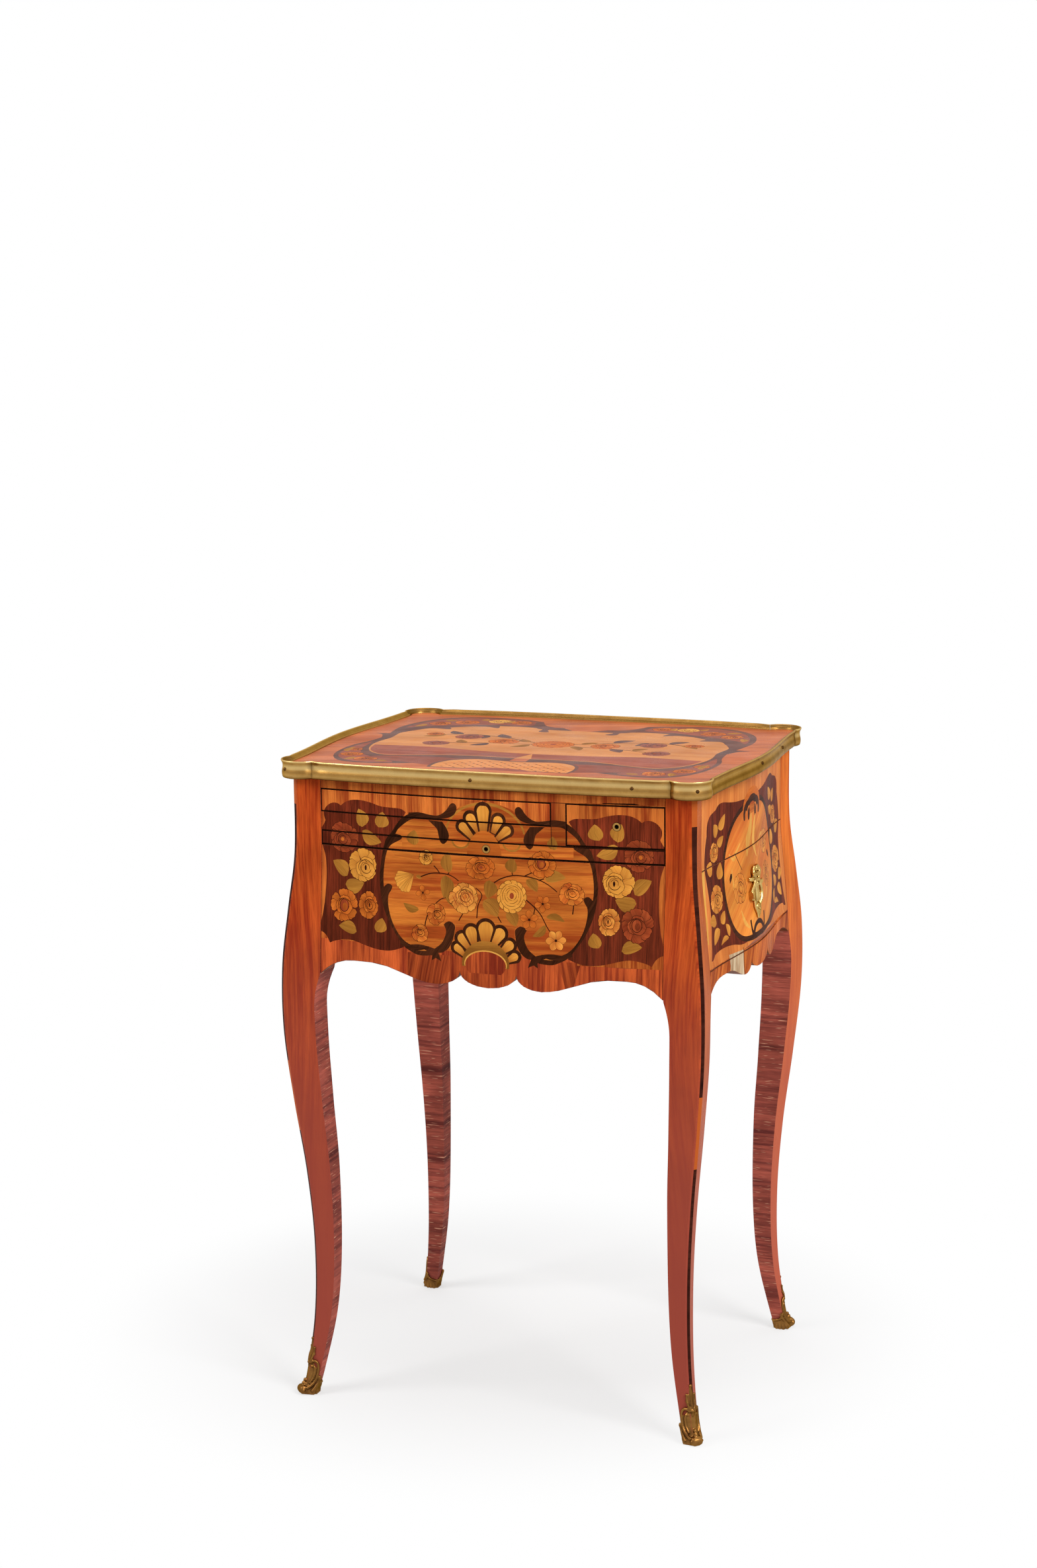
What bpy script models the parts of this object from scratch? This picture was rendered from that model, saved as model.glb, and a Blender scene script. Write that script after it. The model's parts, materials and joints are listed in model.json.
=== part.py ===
"""Small writing table on cabriole legs, with a paper drawer, an ink drawer, a writing slide and a side drawer.

Metres, +Z up. The front faces -Y and the origin is on the floor under the middle of the table.
Most pieces are placed by side: u runs along a side of the case, d is the distance out from the middle.
"""
import math

import bmesh
import bpy
from mathutils import Vector

# Overall sizes
HEIGHT = 0.700               # floor to the top of the brass rim
HALF_WIDTH = 0.2221          # middle to the leg faces at left and right, before the swell
HALF_DEPTH = 0.1839          # middle to the leg faces at front and back, before the swell
FRONT_BOW = 0.0115           # swell of the front and back in plan
SIDE_BOW = 0.0103            # swell of the sides in plan
FIT = 0.0003                 # gap between fixed pieces that touch
RUN_GAP = 0.0005             # gap round a piece that slides
CURVE_FIT = 0.0008           # gap between a board and the curved inside of a panel

# Legs: share of the height under the top, then the outward swell there or the width there
LEG_SWELL = ((0.0, 0.0035), (0.03, -0.0016), (0.132, -0.0095), (0.25, -0.0105), (0.367, -0.0055),
             (0.485, 0.0034), (0.603, 0.0105), (0.705, 0.0105), (0.794, 0.0050), (0.882, -0.0010),
             (1.0, -0.0013))
LEG_WIDTH = ((0.0, 0.0152), (0.03, 0.0152), (0.147, 0.0202), (0.294, 0.0246), (0.441, 0.0308),
             (0.588, 0.0362), (0.66, 0.0370))
STILE_WIDTH = 0.033          # width of a leg where it is a corner post of the case
SPLAY = 0.12                 # fall of a leg's outer faces behind its corner, as a share of their width
CANT_FOOT = 0.0038           # flat cut across the outer corner, at the foot
CANT_TOP = 0.0070            # the same at the top
EAR_RISE = 0.037             # height over which a leg widens into the apron
LEG_STEPS = 24

# Sabots
SOLE = 0.003                 # brass under the end of the leg
COLLAR = 0.018               # height of the cup
LEAF_TIP = 0.064             # top of the leaf on the outer corner
LEAF_WALL = 0.0040
LEAF_LAP = 0.0030            # how far the leaf's wall reaches inside the faces of the leg
TOE_RADIUS = 0.0060
TOE_LENGTH = 0.014
TOE_OUT = 0.0002             # how far the middle of the toe stands off the corner

# Top and its brass rim
RIM_HEIGHT = 0.0195
RIM_STAND = 0.0055           # how far the rim stands above the top
RIM_DEPTH = 0.0062           # from the outer bulge of the rim to the edge of the top
RIM_COVER = 0.0026           # how far the inner lip laps over the top
RIM_REBATE = 0.0012          # step in the edge of the top that takes the inner lip
RIM_OVER_FRONT = 0.0068      # from the leg faces to the outer bulge, at the ends of the front length
RIM_FRONT_BOW = 0.008
RIM_OVER_SIDE = 0.0137       # the same at the ends of a side length
RIM_SIDE_BOW = 0.0098
LOBE_RADIUS = 0.026          # rounded corners of the top
LOBE_OUT_FRONT = 0.0070      # how far a lobe stands out from the end of the front length
LOBE_OUT_SIDE = 0.0027       # the same from the end of a side length
RIM_STEPS = 10

# Heights of the case pieces, from the top down
TOP_RAIL = 0.0095
PAPER_HEIGHT = 0.0250        # paper drawer
MIDDLE_RAIL = 0.0193
SLIDE_HEIGHT = 0.0157        # writing slide
DUST_BOARD = 0.0103
SIDE_DRAWER_HEIGHT = 0.1035
BOTTOM_BOARD = 0.0050
PANEL_WALL = 0.018           # front, back and side panels and rails
FRONT_WALL = 0.016           # drawer fronts
DIVIDER_LEFT = 0.0705        # post between the paper drawer and the ink drawer
DIVIDER_WIDTH = 0.0152
PARTITION_WALL = 0.009

# Scalloped apron under the case
APRON_EDGE = 0.0057          # highest line of the front scallops, below the side drawer
SIDE_APRON_DROP = 0.0066     # the same line at the sides, below the front one
CUSP = 0.031                 # cusps each side of the middle lobe
CUSP_DROP = 0.0008
LOBE_DROP = 0.0162
SIDE_LOBE_DROP = 0.0128
LOBE_LEAN = 0.28             # lowest place of a side lobe, as a share of the way from its cusp to its end
LOBE_SHIFT = 0.0042          # middle lobe of the front, right of the middle
EAR_LENGTH = 0.039
EAR_DROP = 0.0175
EAR_FLAT = 0.020

# Drawers and slide
SIDE_WALL = 0.008
BACK_WALL = 0.007
DRAWER_BOTTOM = 0.004
DRAWER_LIFT = 0.001          # bottom of a drawer above the edge of its sides
BOX_LOW = 0.004              # how much lower a drawer's sides are than its front
BOARD_SET = 0.0012           # from the inside of the back panel, at its posts, to the inner boards
DRAWER_SPACE = 0.014         # behind a closed front drawer, to the end of the inner boards
SIDE_DRAWER_SPACE = 0.0181   # from the inside of the left panel to the closed side drawer
SLIDE_BOARD = 0.0094
TRAY_BOARD = 0.0046          # board over the slide
LEATHER = 0.0010
LEATHER_MARGIN = 0.022
BEARER = 0.0055              # board under the paper drawer

# Locks
LOCK_HALF_WIDTH = 0.015
LOCK_DEPTH = 0.006
LOCK_LOW = 0.0045            # lock case below the keyhole
BOLT_HALF_WIDTH = 0.005
BOLT_THICK = 0.003
BOLT_TRAVEL = 0.005
KEY_RING = 0.0042            # outer radius of a keyhole ring
KEY_RING_BORE = 0.0023
KEY_RING_LENGTH = 0.005
INK_BOLT_LENGTH = 0.012
SLIDE_BOLT_LENGTH = 0.007
SIDE_BOLT_LENGTH = 0.014
INK_KEY_SHIFT = 0.0016       # keyhole right of the middle of the ink drawer
INK_KEY_DROP = 0.022         # keyhole below the top of the ink drawer
SLIDE_KEY_DROP = 0.0078
SIDE_KEY_DROP = 0.0497
KEYHOLE_ROUND = 0.0030
KEYHOLE_SLOT = 0.0013
KEYHOLE_LENGTH = 0.0085
ESCUTCHEON_HALF_WIDTH = 0.0235
ESCUTCHEON_HALF_HEIGHT = 0.0285
ESCUTCHEON_EDGE = 0.0016
ESCUTCHEON_RISE = 0.0052
ESCUTCHEON_STEPS = 48

# Values worked out from the sizes above
CASE_TOP = HEIGHT - RIM_HEIGHT
DRAWER_TOP = CASE_TOP - TOP_RAIL
PAPER_LOW = DRAWER_TOP - PAPER_HEIGHT
SLIDE_TOP = PAPER_LOW - MIDDLE_RAIL
SLIDE_LOW = SLIDE_TOP - SLIDE_HEIGHT
SIDE_TOP = SLIDE_LOW - DUST_BOARD - FIT
SIDE_LOW = SIDE_TOP - SIDE_DRAWER_HEIGHT
APRON = SIDE_LOW - APRON_EDGE
EAR_TOP = APRON - EAR_DROP
POST_X = HALF_WIDTH - STILE_WIDTH
POST_Y = HALF_DEPTH - STILE_WIDTH
TOP_SURFACE = HEIGHT - RIM_STAND
RIM_FRONT = HALF_DEPTH + RIM_OVER_FRONT
RIM_SIDE = HALF_WIDTH + RIM_OVER_SIDE
LOBE_Y = RIM_FRONT + LOBE_OUT_FRONT - LOBE_RADIUS
LOBE_X = RIM_SIDE + LOBE_OUT_SIDE - LOBE_RADIUS
SIDE_DRAWER_BACK = HALF_WIDTH - PANEL_WALL - SIDE_DRAWER_SPACE
DIVIDER_RIGHT = DIVIDER_LEFT + DIVIDER_WIDTH
INK_KEY_X = (DIVIDER_RIGHT + POST_X) / 2 + INK_KEY_SHIFT

for old in list(bpy.data.objects):
    bpy.data.objects.remove(old, do_unlink=True)


def make_material(name, colour, roughness, metallic):
    """A plain Principled material."""
    material = bpy.data.materials.new(name)
    material.use_nodes = True
    shader = material.node_tree.nodes["Principled BSDF"]
    shader.inputs["Base Color"].default_value = (*colour, 1.0)
    shader.inputs["Roughness"].default_value = roughness
    shader.inputs["Metallic"].default_value = metallic
    return material


TULIPWOOD = make_material("tulipwood", (0.56, 0.20, 0.06), 0.30, 0.0)
OAK = make_material("oak", (0.42, 0.27, 0.13), 0.60, 0.0)
BRASS = make_material("gilt_brass", (0.62, 0.44, 0.17), 0.32, 1.0)
STEEL = make_material("lock_steel", (0.35, 0.34, 0.32), 0.42, 1.0)
HIDE = make_material("leather", (0.16, 0.06, 0.03), 0.50, 0.0)


def make_body(name, origin):
    """An empty that carries the pieces of one moving body."""
    empty = bpy.data.objects.new(name + "_body", None)
    empty.location = origin
    bpy.context.collection.objects.link(empty)
    return empty


CASE = make_body("case", (0.0, 0.0, 0.0))
PAPER_DRAWER = make_body("paper_drawer", (0.0, -HALF_DEPTH, PAPER_LOW))
INK_DRAWER = make_body("ink_drawer", (INK_KEY_X, -HALF_DEPTH, SLIDE_TOP))
WRITING_SLIDE = make_body("writing_slide", (0.0, -HALF_DEPTH, SLIDE_LOW))
SIDE_DRAWER = make_body("side_drawer", (HALF_WIDTH, 0.0, SIDE_LOW))
INK_BOLT = make_body("ink_bolt", (INK_KEY_X, -HALF_DEPTH, DRAWER_TOP))
SLIDE_BOLT = make_body("slide_bolt", (0.0, -HALF_DEPTH, SLIDE_TOP))
SIDE_BOLT = make_body("side_bolt", (HALF_WIDTH, 0.0, SIDE_TOP))


def add_solid(name, points, faces, material, body, smooth=False):
    """One closed solid from world points, with its origin in the middle of its box."""
    low = [min(p[i] for p in points) for i in range(3)]
    high = [max(p[i] for p in points) for i in range(3)]
    middle = (Vector(low) + Vector(high)) / 2
    mesh = bpy.data.meshes.new(name)
    mesh.from_pydata([Vector(p) - middle for p in points], [], faces)
    shape = bmesh.new()
    shape.from_mesh(mesh)
    bmesh.ops.recalc_face_normals(shape, faces=shape.faces)
    shape.to_mesh(mesh)
    shape.free()
    if smooth:
        mesh.shade_smooth()
        mesh.set_sharp_from_angle(angle=math.radians(35))
    if material:
        mesh.materials.append(material)
    piece = bpy.data.objects.new(name, mesh)
    bpy.context.collection.objects.link(piece)
    if body:
        piece.parent = body
        middle = middle - body.location
    piece.location = middle
    return piece


def loft(rings, closed=False):
    """Points and faces of a solid through rings of equal length; closed joins the last ring to the first."""
    count = len(rings[0])
    points = [p for ring in rings for p in ring]
    faces = []
    spans = len(rings) if closed else len(rings) - 1
    for i in range(spans):
        a, b = i * count, ((i + 1) % len(rings)) * count
        for k in range(count):
            n = (k + 1) % count
            faces.append((a + k, a + n, b + n, b + k))
    if not closed:
        faces.append(tuple(range(count)))
        faces.append(tuple(range(len(points) - count, len(points))))
    return points, faces


def cut(piece, name, points, faces):
    """Take a hidden cutter out of a piece."""
    cutter = add_solid(name, points, faces, None, None)
    cutter.hide_render = True
    cutter.display_type = "WIRE"
    boolean = piece.modifiers.new(name, "BOOLEAN")
    boolean.operation = "DIFFERENCE"
    boolean.solver = "EXACT"
    boolean.object = cutter


def smooth_curve(knots):
    """A smooth function through (place, value) knots."""
    places = [k[0] for k in knots]
    values = [k[1] for k in knots]

    def slope(i):
        low, high = max(i - 1, 0), min(i + 1, len(knots) - 1)
        return (values[high] - values[low]) / (places[high] - places[low])

    def value(place):
        place = min(max(place, places[0]), places[-1])
        i = max(k for k in range(len(places) - 1) if places[k] <= place)
        span = places[i + 1] - places[i]
        t = (place - places[i]) / span
        return (values[i] * (1 + 2 * t) * (1 - t) ** 2 + span * slope(i) * t * (1 - t) ** 2
                + values[i + 1] * t * t * (3 - 2 * t) + span * slope(i + 1) * t * t * (t - 1))

    return value


swell_at = smooth_curve(LEG_SWELL)
width_at = smooth_curve(LEG_WIDTH)


def swell(z):
    """Outward swell of the leg faces and of the case at height z."""
    return swell_at(z / CASE_TOP)


def side_sizes(side):
    """Distance to the straight face, swell in plan and half length between the posts, for one side."""
    if side in ("front", "back"):
        return HALF_DEPTH, FRONT_BOW, POST_X
    return HALF_WIDTH, SIDE_BOW, POST_Y


def cant(z):
    """Width of the flat cut across the outer corner of a leg at height z."""
    return CANT_FOOT + (CANT_TOP - CANT_FOOT) * (z / CASE_TOP) ** 4


def face(side, u, z):
    """Distance from the middle to the outer face of the case: bowed, and level with the posts at its ends."""
    straight, bow, half = side_sizes(side)
    share = min(abs(u) / half, 1.0)
    shape = 1 - share * share if side in ("front", "back") else math.cos(share * math.pi / 2) ** 2
    fall = SPLAY * (STILE_WIDTH + swell(z) - cant(z))
    return straight + swell(z) - fall + bow * shape


def place(side, u, d, z):
    """World point of a place along a side, a distance out from the middle, and a height."""
    return {"front": (u, -d, z), "back": (u, d, z), "right": (d, u, z), "left": (-d, u, z)}[side]


def board(name, side, us, ds, zs, material, body):
    """A plain rectangular board between pairs of limits."""
    rings = [[place(side, us[0], d, z), place(side, us[1], d, z)] for d in ds for z in zs]
    points = rings[0] + rings[1][::-1] + rings[2] + rings[3][::-1]
    faces = [(0, 1, 2, 3), (4, 5, 6, 7), (0, 1, 5, 4), (1, 2, 6, 5), (2, 3, 7, 6), (3, 0, 4, 7)]
    return add_solid(name, points, faces, material, body)


def box_shape(side, us, ds, zs):
    """Points and faces of a box, for cutters."""
    ring = [(us[0], zs[0]), (us[1], zs[0]), (us[1], zs[1]), (us[0], zs[1])]
    return loft([[place(side, u, d, z) for u, z in ring] for d in ds])


def curved_panel(name, side, stations, low, high, wall, rows, material, body, flat_back=None):
    """A panel whose face follows the case, between a lower and an upper edge, each a function of u."""
    outer, inner = [], []
    for u in stations:
        for r in range(rows + 1):
            z = low(u) + (high(u) - low(u)) * r / rows
            outer.append(place(side, u, face(side, u, z), z))
            inner.append(place(side, u, flat_back if flat_back else face(side, u, z) - wall, z))
    points = outer + inner
    shift = len(outer)
    step = rows + 1
    faces = []
    for i in range(len(stations) - 1):
        for r in range(rows):
            a = i * step + r
            quad = (a, a + step, a + step + 1, a + 1)
            faces.append(quad)
            faces.append(tuple(k + shift for k in reversed(quad)))
        for edge in (i * step, i * step + rows):
            faces.append((edge, edge + step, edge + step + shift, edge + shift))
    for r in range(rows):
        for end in (r, (len(stations) - 1) * step + r):
            faces.append((end, end + 1, end + 1 + shift, end + shift))
    return add_solid(name, points, faces, material, body, smooth=True)


def even(low, high, count):
    """Evenly spaced places from low to high."""
    return [low + (high - low) * i / count for i in range(count + 1)]


def apron_places(half):
    """Ends of the flat, the side lobe and the ear of an apron, out from its middle."""
    ear = half - EAR_LENGTH
    lobe_end = ear - EAR_FLAT
    lobe_low = CUSP + (lobe_end - CUSP) * LOBE_LEAN
    return lobe_low, lobe_end, ear


def lobe_shift(side, u):
    """How far the lobes of an apron stand off the middle, fading out towards the legs."""
    return LOBE_SHIFT * (1 - (u / side_sizes(side)[2]) ** 2) if side == "front" else 0.0


def apron_low(side):
    """Lower edge of an apron: a middle lobe, cusps, a lobe each side and ears that run into the legs."""
    half = side_sizes(side)[2]
    lobe_low, lobe_end, ear = apron_places(half)
    long = side in ("front", "back")
    high = APRON if long else APRON - SIDE_APRON_DROP
    drop = LOBE_DROP if long else SIDE_LOBE_DROP

    def edge(u):
        u = abs(u - lobe_shift(side, u))
        if u < CUSP:
            return high - CUSP_DROP - (drop - CUSP_DROP) * math.sqrt(1 - (u / CUSP) ** 2)
        if u < lobe_low:
            t = (lobe_low - u) / (lobe_low - CUSP)
            return high - CUSP_DROP - (drop - CUSP_DROP) * math.sqrt(max(1 - t * t, 0.0))
        if u < lobe_end:
            t = (u - lobe_low) / (lobe_end - lobe_low)
            return high - drop * (1 - t * t * (3 - 2 * t))
        if u < ear:
            return high
        return high - (high - EAR_TOP) * ((u - ear) / EAR_LENGTH) ** 2.2

    return edge


def apron_stations(side):
    """Places along an apron, closer where it curves."""
    half = side_sizes(side)[2] - FIT
    lobe_low, lobe_end, ear = apron_places(side_sizes(side)[2])
    right = [CUSP * math.sin(math.pi / 2 * k / 4) for k in range(5)]
    right += [lobe_low - (lobe_low - CUSP) * math.cos(math.pi / 2 * k / 4) for k in range(1, 5)]
    right += even(lobe_low, lobe_end, 4)[1:]
    right += even(ear, half, 4)
    both = [-u for u in reversed(right[1:])] + right
    return [u + lobe_shift(side, u) for u in both]


# Legs
def leg_levels():
    """Heights of the rings of a leg, with rings of their own where it widens into the apron."""
    ear = [EAR_TOP - EAR_RISE * k / 4 for k in range(5)]
    plain = [z for z in even(SOLE, CASE_TOP, LEG_STEPS) if min(abs(z - e) for e in ear) > EAR_RISE / 8]
    return sorted(plain + ear + [COLLAR])


def inner_edge(z, half):
    """Inner edge of a leg: slender below, widening into the apron, then straight as a post of the case."""
    slender = half + swell(z) - width_at(z / CASE_TOP)
    post = half - STILE_WIDTH
    t = min(max((z - EAR_TOP + EAR_RISE) / EAR_RISE, 0.0), 1.0)
    return slender + (post - slender) * t * t


def leg_ring(z, signs, out=0.0, back=0.0):
    """Ring of a leg with a canted outer corner; out and back grow its outer and inner faces."""
    x, y = HALF_WIDTH + swell(z) + out, HALF_DEPTH + swell(z) + out
    in_x, in_y = inner_edge(z, HALF_WIDTH) - back, inner_edge(z, HALF_DEPTH) - back
    side_end = x - SPLAY * (y - cant(z) - in_y)
    front_end = y - SPLAY * (x - cant(z) - in_x)
    ring = [(in_x, in_y), (side_end, in_y), (x, y - cant(z)), (x - cant(z), y), (in_x, front_end)]
    return [(signs[0] * px, signs[1] * py, z) for px, py in ring]


CORNERS = {"front_left": (-1, -1), "front_right": (1, -1), "back_left": (-1, 1), "back_right": (1, 1)}

# Growth of a sabot beyond the leg: height, outer faces, inner faces
SABOT_SHAPE = ((0.0, 0.0036, 0.0022), (0.003, 0.0042, 0.0026), (0.009, 0.0036, 0.0024), (0.014, 0.0026, 0.0020),
               (COLLAR, 0.0030, 0.0024), (COLLAR + 0.0008, LEAF_WALL, -LEAF_LAP),
               (LEAF_TIP * 0.6, LEAF_WALL, -LEAF_LAP), (LEAF_TIP, LEAF_WALL * 0.7, -LEAF_LAP))
# Half outline of the leaf: half width, height as a share of the way from the cup to the tip
LEAF = ((0.0130, 0.0), (0.0098, 0.13), (0.0108, 0.27), (0.0072, 0.40), (0.0080, 0.54), (0.0044, 0.68),
        (0.0040, 0.82), (0.0, 1.0))


def add_sabot(corner, signs):
    """Cast brass shoe: a cup round the end of the leg, a leaf up its outer corner and a rolled toe."""
    rings = [leg_ring(z, signs, out, back) for z, out, back in SABOT_SHAPE]
    rings[0] = [(x, y, 0.0) for x, y, _ in rings[0]]
    sabot = add_solid("sabot_" + corner, *loft(rings), BRASS, CASE)
    outward = Vector((signs[0], signs[1], 0.0)).normalized()
    across = Vector((-outward.y, outward.x, 0.0))
    base = HALF_WIDTH + swell(0.0) - CANT_FOOT / 2, HALF_DEPTH + swell(0.0) - CANT_FOOT / 2
    tip = Vector((signs[0] * base[0], signs[1] * base[1], TOE_RADIUS + FIT)) + outward * TOE_OUT
    toe_rings = []
    for end in (-TOE_LENGTH / 2, TOE_LENGTH / 2):
        turn = [2 * math.pi * k / 16 for k in range(16)]
        toe_rings.append([tip + across * end + outward * TOE_RADIUS * math.cos(a)
                          + Vector((0, 0, TOE_RADIUS * math.sin(a))) for a in turn])
    toe = add_solid("toe_" + corner, *loft(toe_rings), None, None)
    toe.hide_render = True
    toe.display_type = "WIRE"
    union = sabot.modifiers.new("toe", "BOOLEAN")
    union.operation = "UNION"
    union.object = toe
    socket = [z for z in leg_levels() if z < LEAF_TIP * 1.6]
    socket_rings = [leg_ring(z, signs, FIT, FIT) for z in socket]
    socket_rings[0] = [(x, y, SOLE - FIT) for x, y, _ in socket_rings[0]]
    cut(sabot, "socket_" + corner, *loft(socket_rings))
    reach = LEAF_TIP
    rise = LEAF_TIP - COLLAR
    half = [(w, COLLAR + FIT + rise * share) for w, share in LEAF]
    outline = [(-reach, COLLAR + FIT)] + [(-w, z) for w, z in half] + [(w, z) for w, z in reversed(half[:-1])]
    outline += [(reach, COLLAR + FIT), (reach, LEAF_TIP + reach), (-reach, LEAF_TIP + reach)]
    middle = Vector((signs[0] * HALF_WIDTH, signs[1] * HALF_DEPTH, 0.0))
    leaf_rings = [[middle + outward * d + across * w + Vector((0, 0, z)) for w, z in outline]
                  for d in (-reach, reach)]
    cut(sabot, "leaf_" + corner, *loft(leaf_rings))


for corner, signs in CORNERS.items():
    add_solid("leg_" + corner, *loft([leg_ring(z, signs) for z in leg_levels()]), TULIPWOOD, CASE, smooth=True)
    add_sabot(corner, signs)


# Case panels and rails
def level(z):
    """An edge at one height."""
    return lambda u: z


def add_panel(name, side, low, high, rows, wall=PANEL_WALL, apron=False, body=CASE, gap=FIT, stations=None):
    """A panel or drawer front between the posts of one side."""
    half = side_sizes(side)[2] - gap
    places = stations or (apron_stations(side) if apron else even(-half, half, 12))
    edge = apron_low(side) if apron else level(low)
    return curved_panel(name, side, places, edge, level(high), wall, rows, TULIPWOOD, body)


add_panel("front_panel", "front", None, SLIDE_LOW - RUN_GAP, 6, apron=True)
add_panel("back_panel", "back", None, CASE_TOP, 8, apron=True)
add_panel("left_panel", "left", None, CASE_TOP, 8, apron=True)
add_panel("right_lower_rail", "right", None, SIDE_LOW - RUN_GAP, 2, apron=True)
right_upper_rail = add_panel("right_upper_rail", "right", SIDE_TOP + RUN_GAP, CASE_TOP, 4)

FRONT_INNER = face("front", POST_X, SLIDE_TOP) - FRONT_WALL
RAIL_INNER = face("front", POST_X, SLIDE_TOP) - PANEL_WALL


def front_piece(name, us, zs, body, steps, inner):
    """A front rail or drawer front with a flat back."""
    return curved_panel(name, "front", even(us[0], us[1], steps), level(zs[0]), level(zs[1]), 0, 2, TULIPWOOD,
                        body, flat_back=inner)


top_rail = front_piece("top_rail", (-POST_X + FIT, POST_X - FIT), (DRAWER_TOP, CASE_TOP), CASE, 12, RAIL_INNER)
middle_rail = front_piece("middle_rail", (-POST_X + FIT, DIVIDER_LEFT - FIT), (SLIDE_TOP, PAPER_LOW), CASE, 10,
                          RAIL_INNER)
front_piece("drawer_divider", (DIVIDER_LEFT, DIVIDER_RIGHT), (SLIDE_TOP, DRAWER_TOP - FIT), CASE, 2, RAIL_INNER)

# Inner boards
CASE_BACK = face("back", POST_X, CASE_TOP) - PANEL_WALL - BOARD_SET
DRAWER_BACK = CASE_BACK - DRAWER_SPACE
POST_FIT = POST_X - FIT
SLIDE_BASE = SLIDE_LOW + RUN_GAP
TRAY_TOP = SLIDE_TOP - FIT
PARTITION_LEFT = DIVIDER_LEFT + (DIVIDER_WIDTH - PARTITION_WALL) / 2
PARTITION_RIGHT = PARTITION_LEFT + PARTITION_WALL


def panel_inner(z):
    """How far forward a straight board can reach behind the front panel at height z."""
    return face("front", POST_X, z) - PANEL_WALL - FIT


def floor_outline(zs):
    """Outline of a board that fills the case between the panels, notched round the four posts."""
    outline = []
    for side, sign in (("front", 1), ("right", 1), ("back", -1), ("left", -1)):
        half = side_sizes(side)[2] - FIT
        for u in even(-half * sign, half * sign, 8):
            reach = min(face(side, u, z) for z in zs) - PANEL_WALL - CURVE_FIT
            outline.append(place(side, u, reach, 0.0)[:2])
        corner = {"front": (1, -1), "right": (1, 1), "back": (-1, 1), "left": (-1, -1)}[side]
        outline.append((corner[0] * (POST_X - FIT), corner[1] * (POST_Y - FIT)))
    return outline


FLOOR_Z = (SIDE_LOW - RUN_GAP - BOTTOM_BOARD, SIDE_LOW - RUN_GAP)
add_solid("bottom_board", *loft([[(*p, z) for p in floor_outline(FLOOR_Z)] for z in FLOOR_Z]), OAK, CASE)
board("dust_board", "front", (-POST_FIT, POST_FIT), (-CASE_BACK, panel_inner(SLIDE_LOW)),
      (SLIDE_LOW - DUST_BOARD, SLIDE_LOW), OAK, CASE)
board("tray_board", "front", (-POST_FIT, POST_FIT), (-CASE_BACK, FRONT_INNER - 2 * RUN_GAP),
      (TRAY_TOP - TRAY_BOARD, TRAY_TOP), OAK, CASE)
board("paper_bearer", "front", (-POST_FIT, PARTITION_LEFT - FIT), (-CASE_BACK, RAIL_INNER - FIT),
      (PAPER_LOW - BEARER, PAPER_LOW), OAK, CASE)
board("partition", "front", (PARTITION_LEFT, PARTITION_RIGHT), (-CASE_BACK, RAIL_INNER - FIT),
      (TRAY_TOP + FIT, CASE_TOP - FIT), OAK, CASE)


# Drawers
def drawer_box(name, side, us, back, reach, zs, body, curved=False):
    """Two sides, a back and a bottom behind a drawer front; curved sides follow the inside of the front."""
    low, high = zs[0], zs[1] - BOX_LOW
    for label, u0, u1 in (("left", us[0], us[0] + SIDE_WALL), ("right", us[1] - SIDE_WALL, us[1])):
        if curved:
            edge = [(face(side, us[0], z) - FRONT_WALL - FIT, z) for z in even(low, high, 6)]
            section = [(-back, low)] + edge + [(-back, high)]
            rings = [[place(side, u, d, z) for d, z in section] for u in (u0, u1)]
            add_solid(f"{name}_side_{label}", *loft(rings), OAK, body)
        else:
            board(f"{name}_side_{label}", side, (u0, u1), (-back, reach), (low, high), OAK, body)
    inside = us[0] + SIDE_WALL + FIT, us[1] - SIDE_WALL - FIT
    floor = low + DRAWER_LIFT
    board(name + "_bottom", side, inside, (-back, reach), (floor, floor + DRAWER_BOTTOM), OAK, body)
    back_z = (floor + DRAWER_BOTTOM + FIT, high)
    board(name + "_back", side, inside, (-back, -back + BACK_WALL), back_z, OAK, body)


PAPER_X = (-POST_X + RUN_GAP, DIVIDER_LEFT - RUN_GAP)
PAPER_Z = (PAPER_LOW + RUN_GAP, DRAWER_TOP - RUN_GAP)
front_piece("paper_drawer_front", PAPER_X, PAPER_Z, PAPER_DRAWER, 10, FRONT_INNER)
drawer_box("paper_drawer", "front", PAPER_X, DRAWER_BACK, FRONT_INNER - FIT, PAPER_Z, PAPER_DRAWER)

INK_X = (DIVIDER_RIGHT + RUN_GAP, POST_X - RUN_GAP)
INK_Z = (SLIDE_TOP + RUN_GAP, DRAWER_TOP - RUN_GAP)
ink_front = front_piece("ink_drawer_front", INK_X, INK_Z, INK_DRAWER, 6, FRONT_INNER)
drawer_box("ink_drawer", "front", INK_X, DRAWER_BACK, FRONT_INNER - FIT, INK_Z, INK_DRAWER)

SIDE_Z = (SIDE_LOW + RUN_GAP, SIDE_TOP - RUN_GAP)
SIDE_Y = (-POST_Y + RUN_GAP, POST_Y - RUN_GAP)
SIDE_BOX_Y = (SIDE_Y[0] + RUN_GAP, SIDE_Y[1] - RUN_GAP)
side_front = curved_panel("side_drawer_front", "right", even(*SIDE_Y, 14), level(SIDE_Z[0]), level(SIDE_Z[1]),
                          FRONT_WALL, 7, TULIPWOOD, SIDE_DRAWER)
SIDE_REACH = min(face("right", SIDE_Y[0], z) for z in even(*SIDE_Z, 8)) - FRONT_WALL - FIT
drawer_box("side_drawer", "right", SIDE_BOX_Y, SIDE_DRAWER_BACK, SIDE_REACH, SIDE_Z, SIDE_DRAWER, curved=True)

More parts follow.
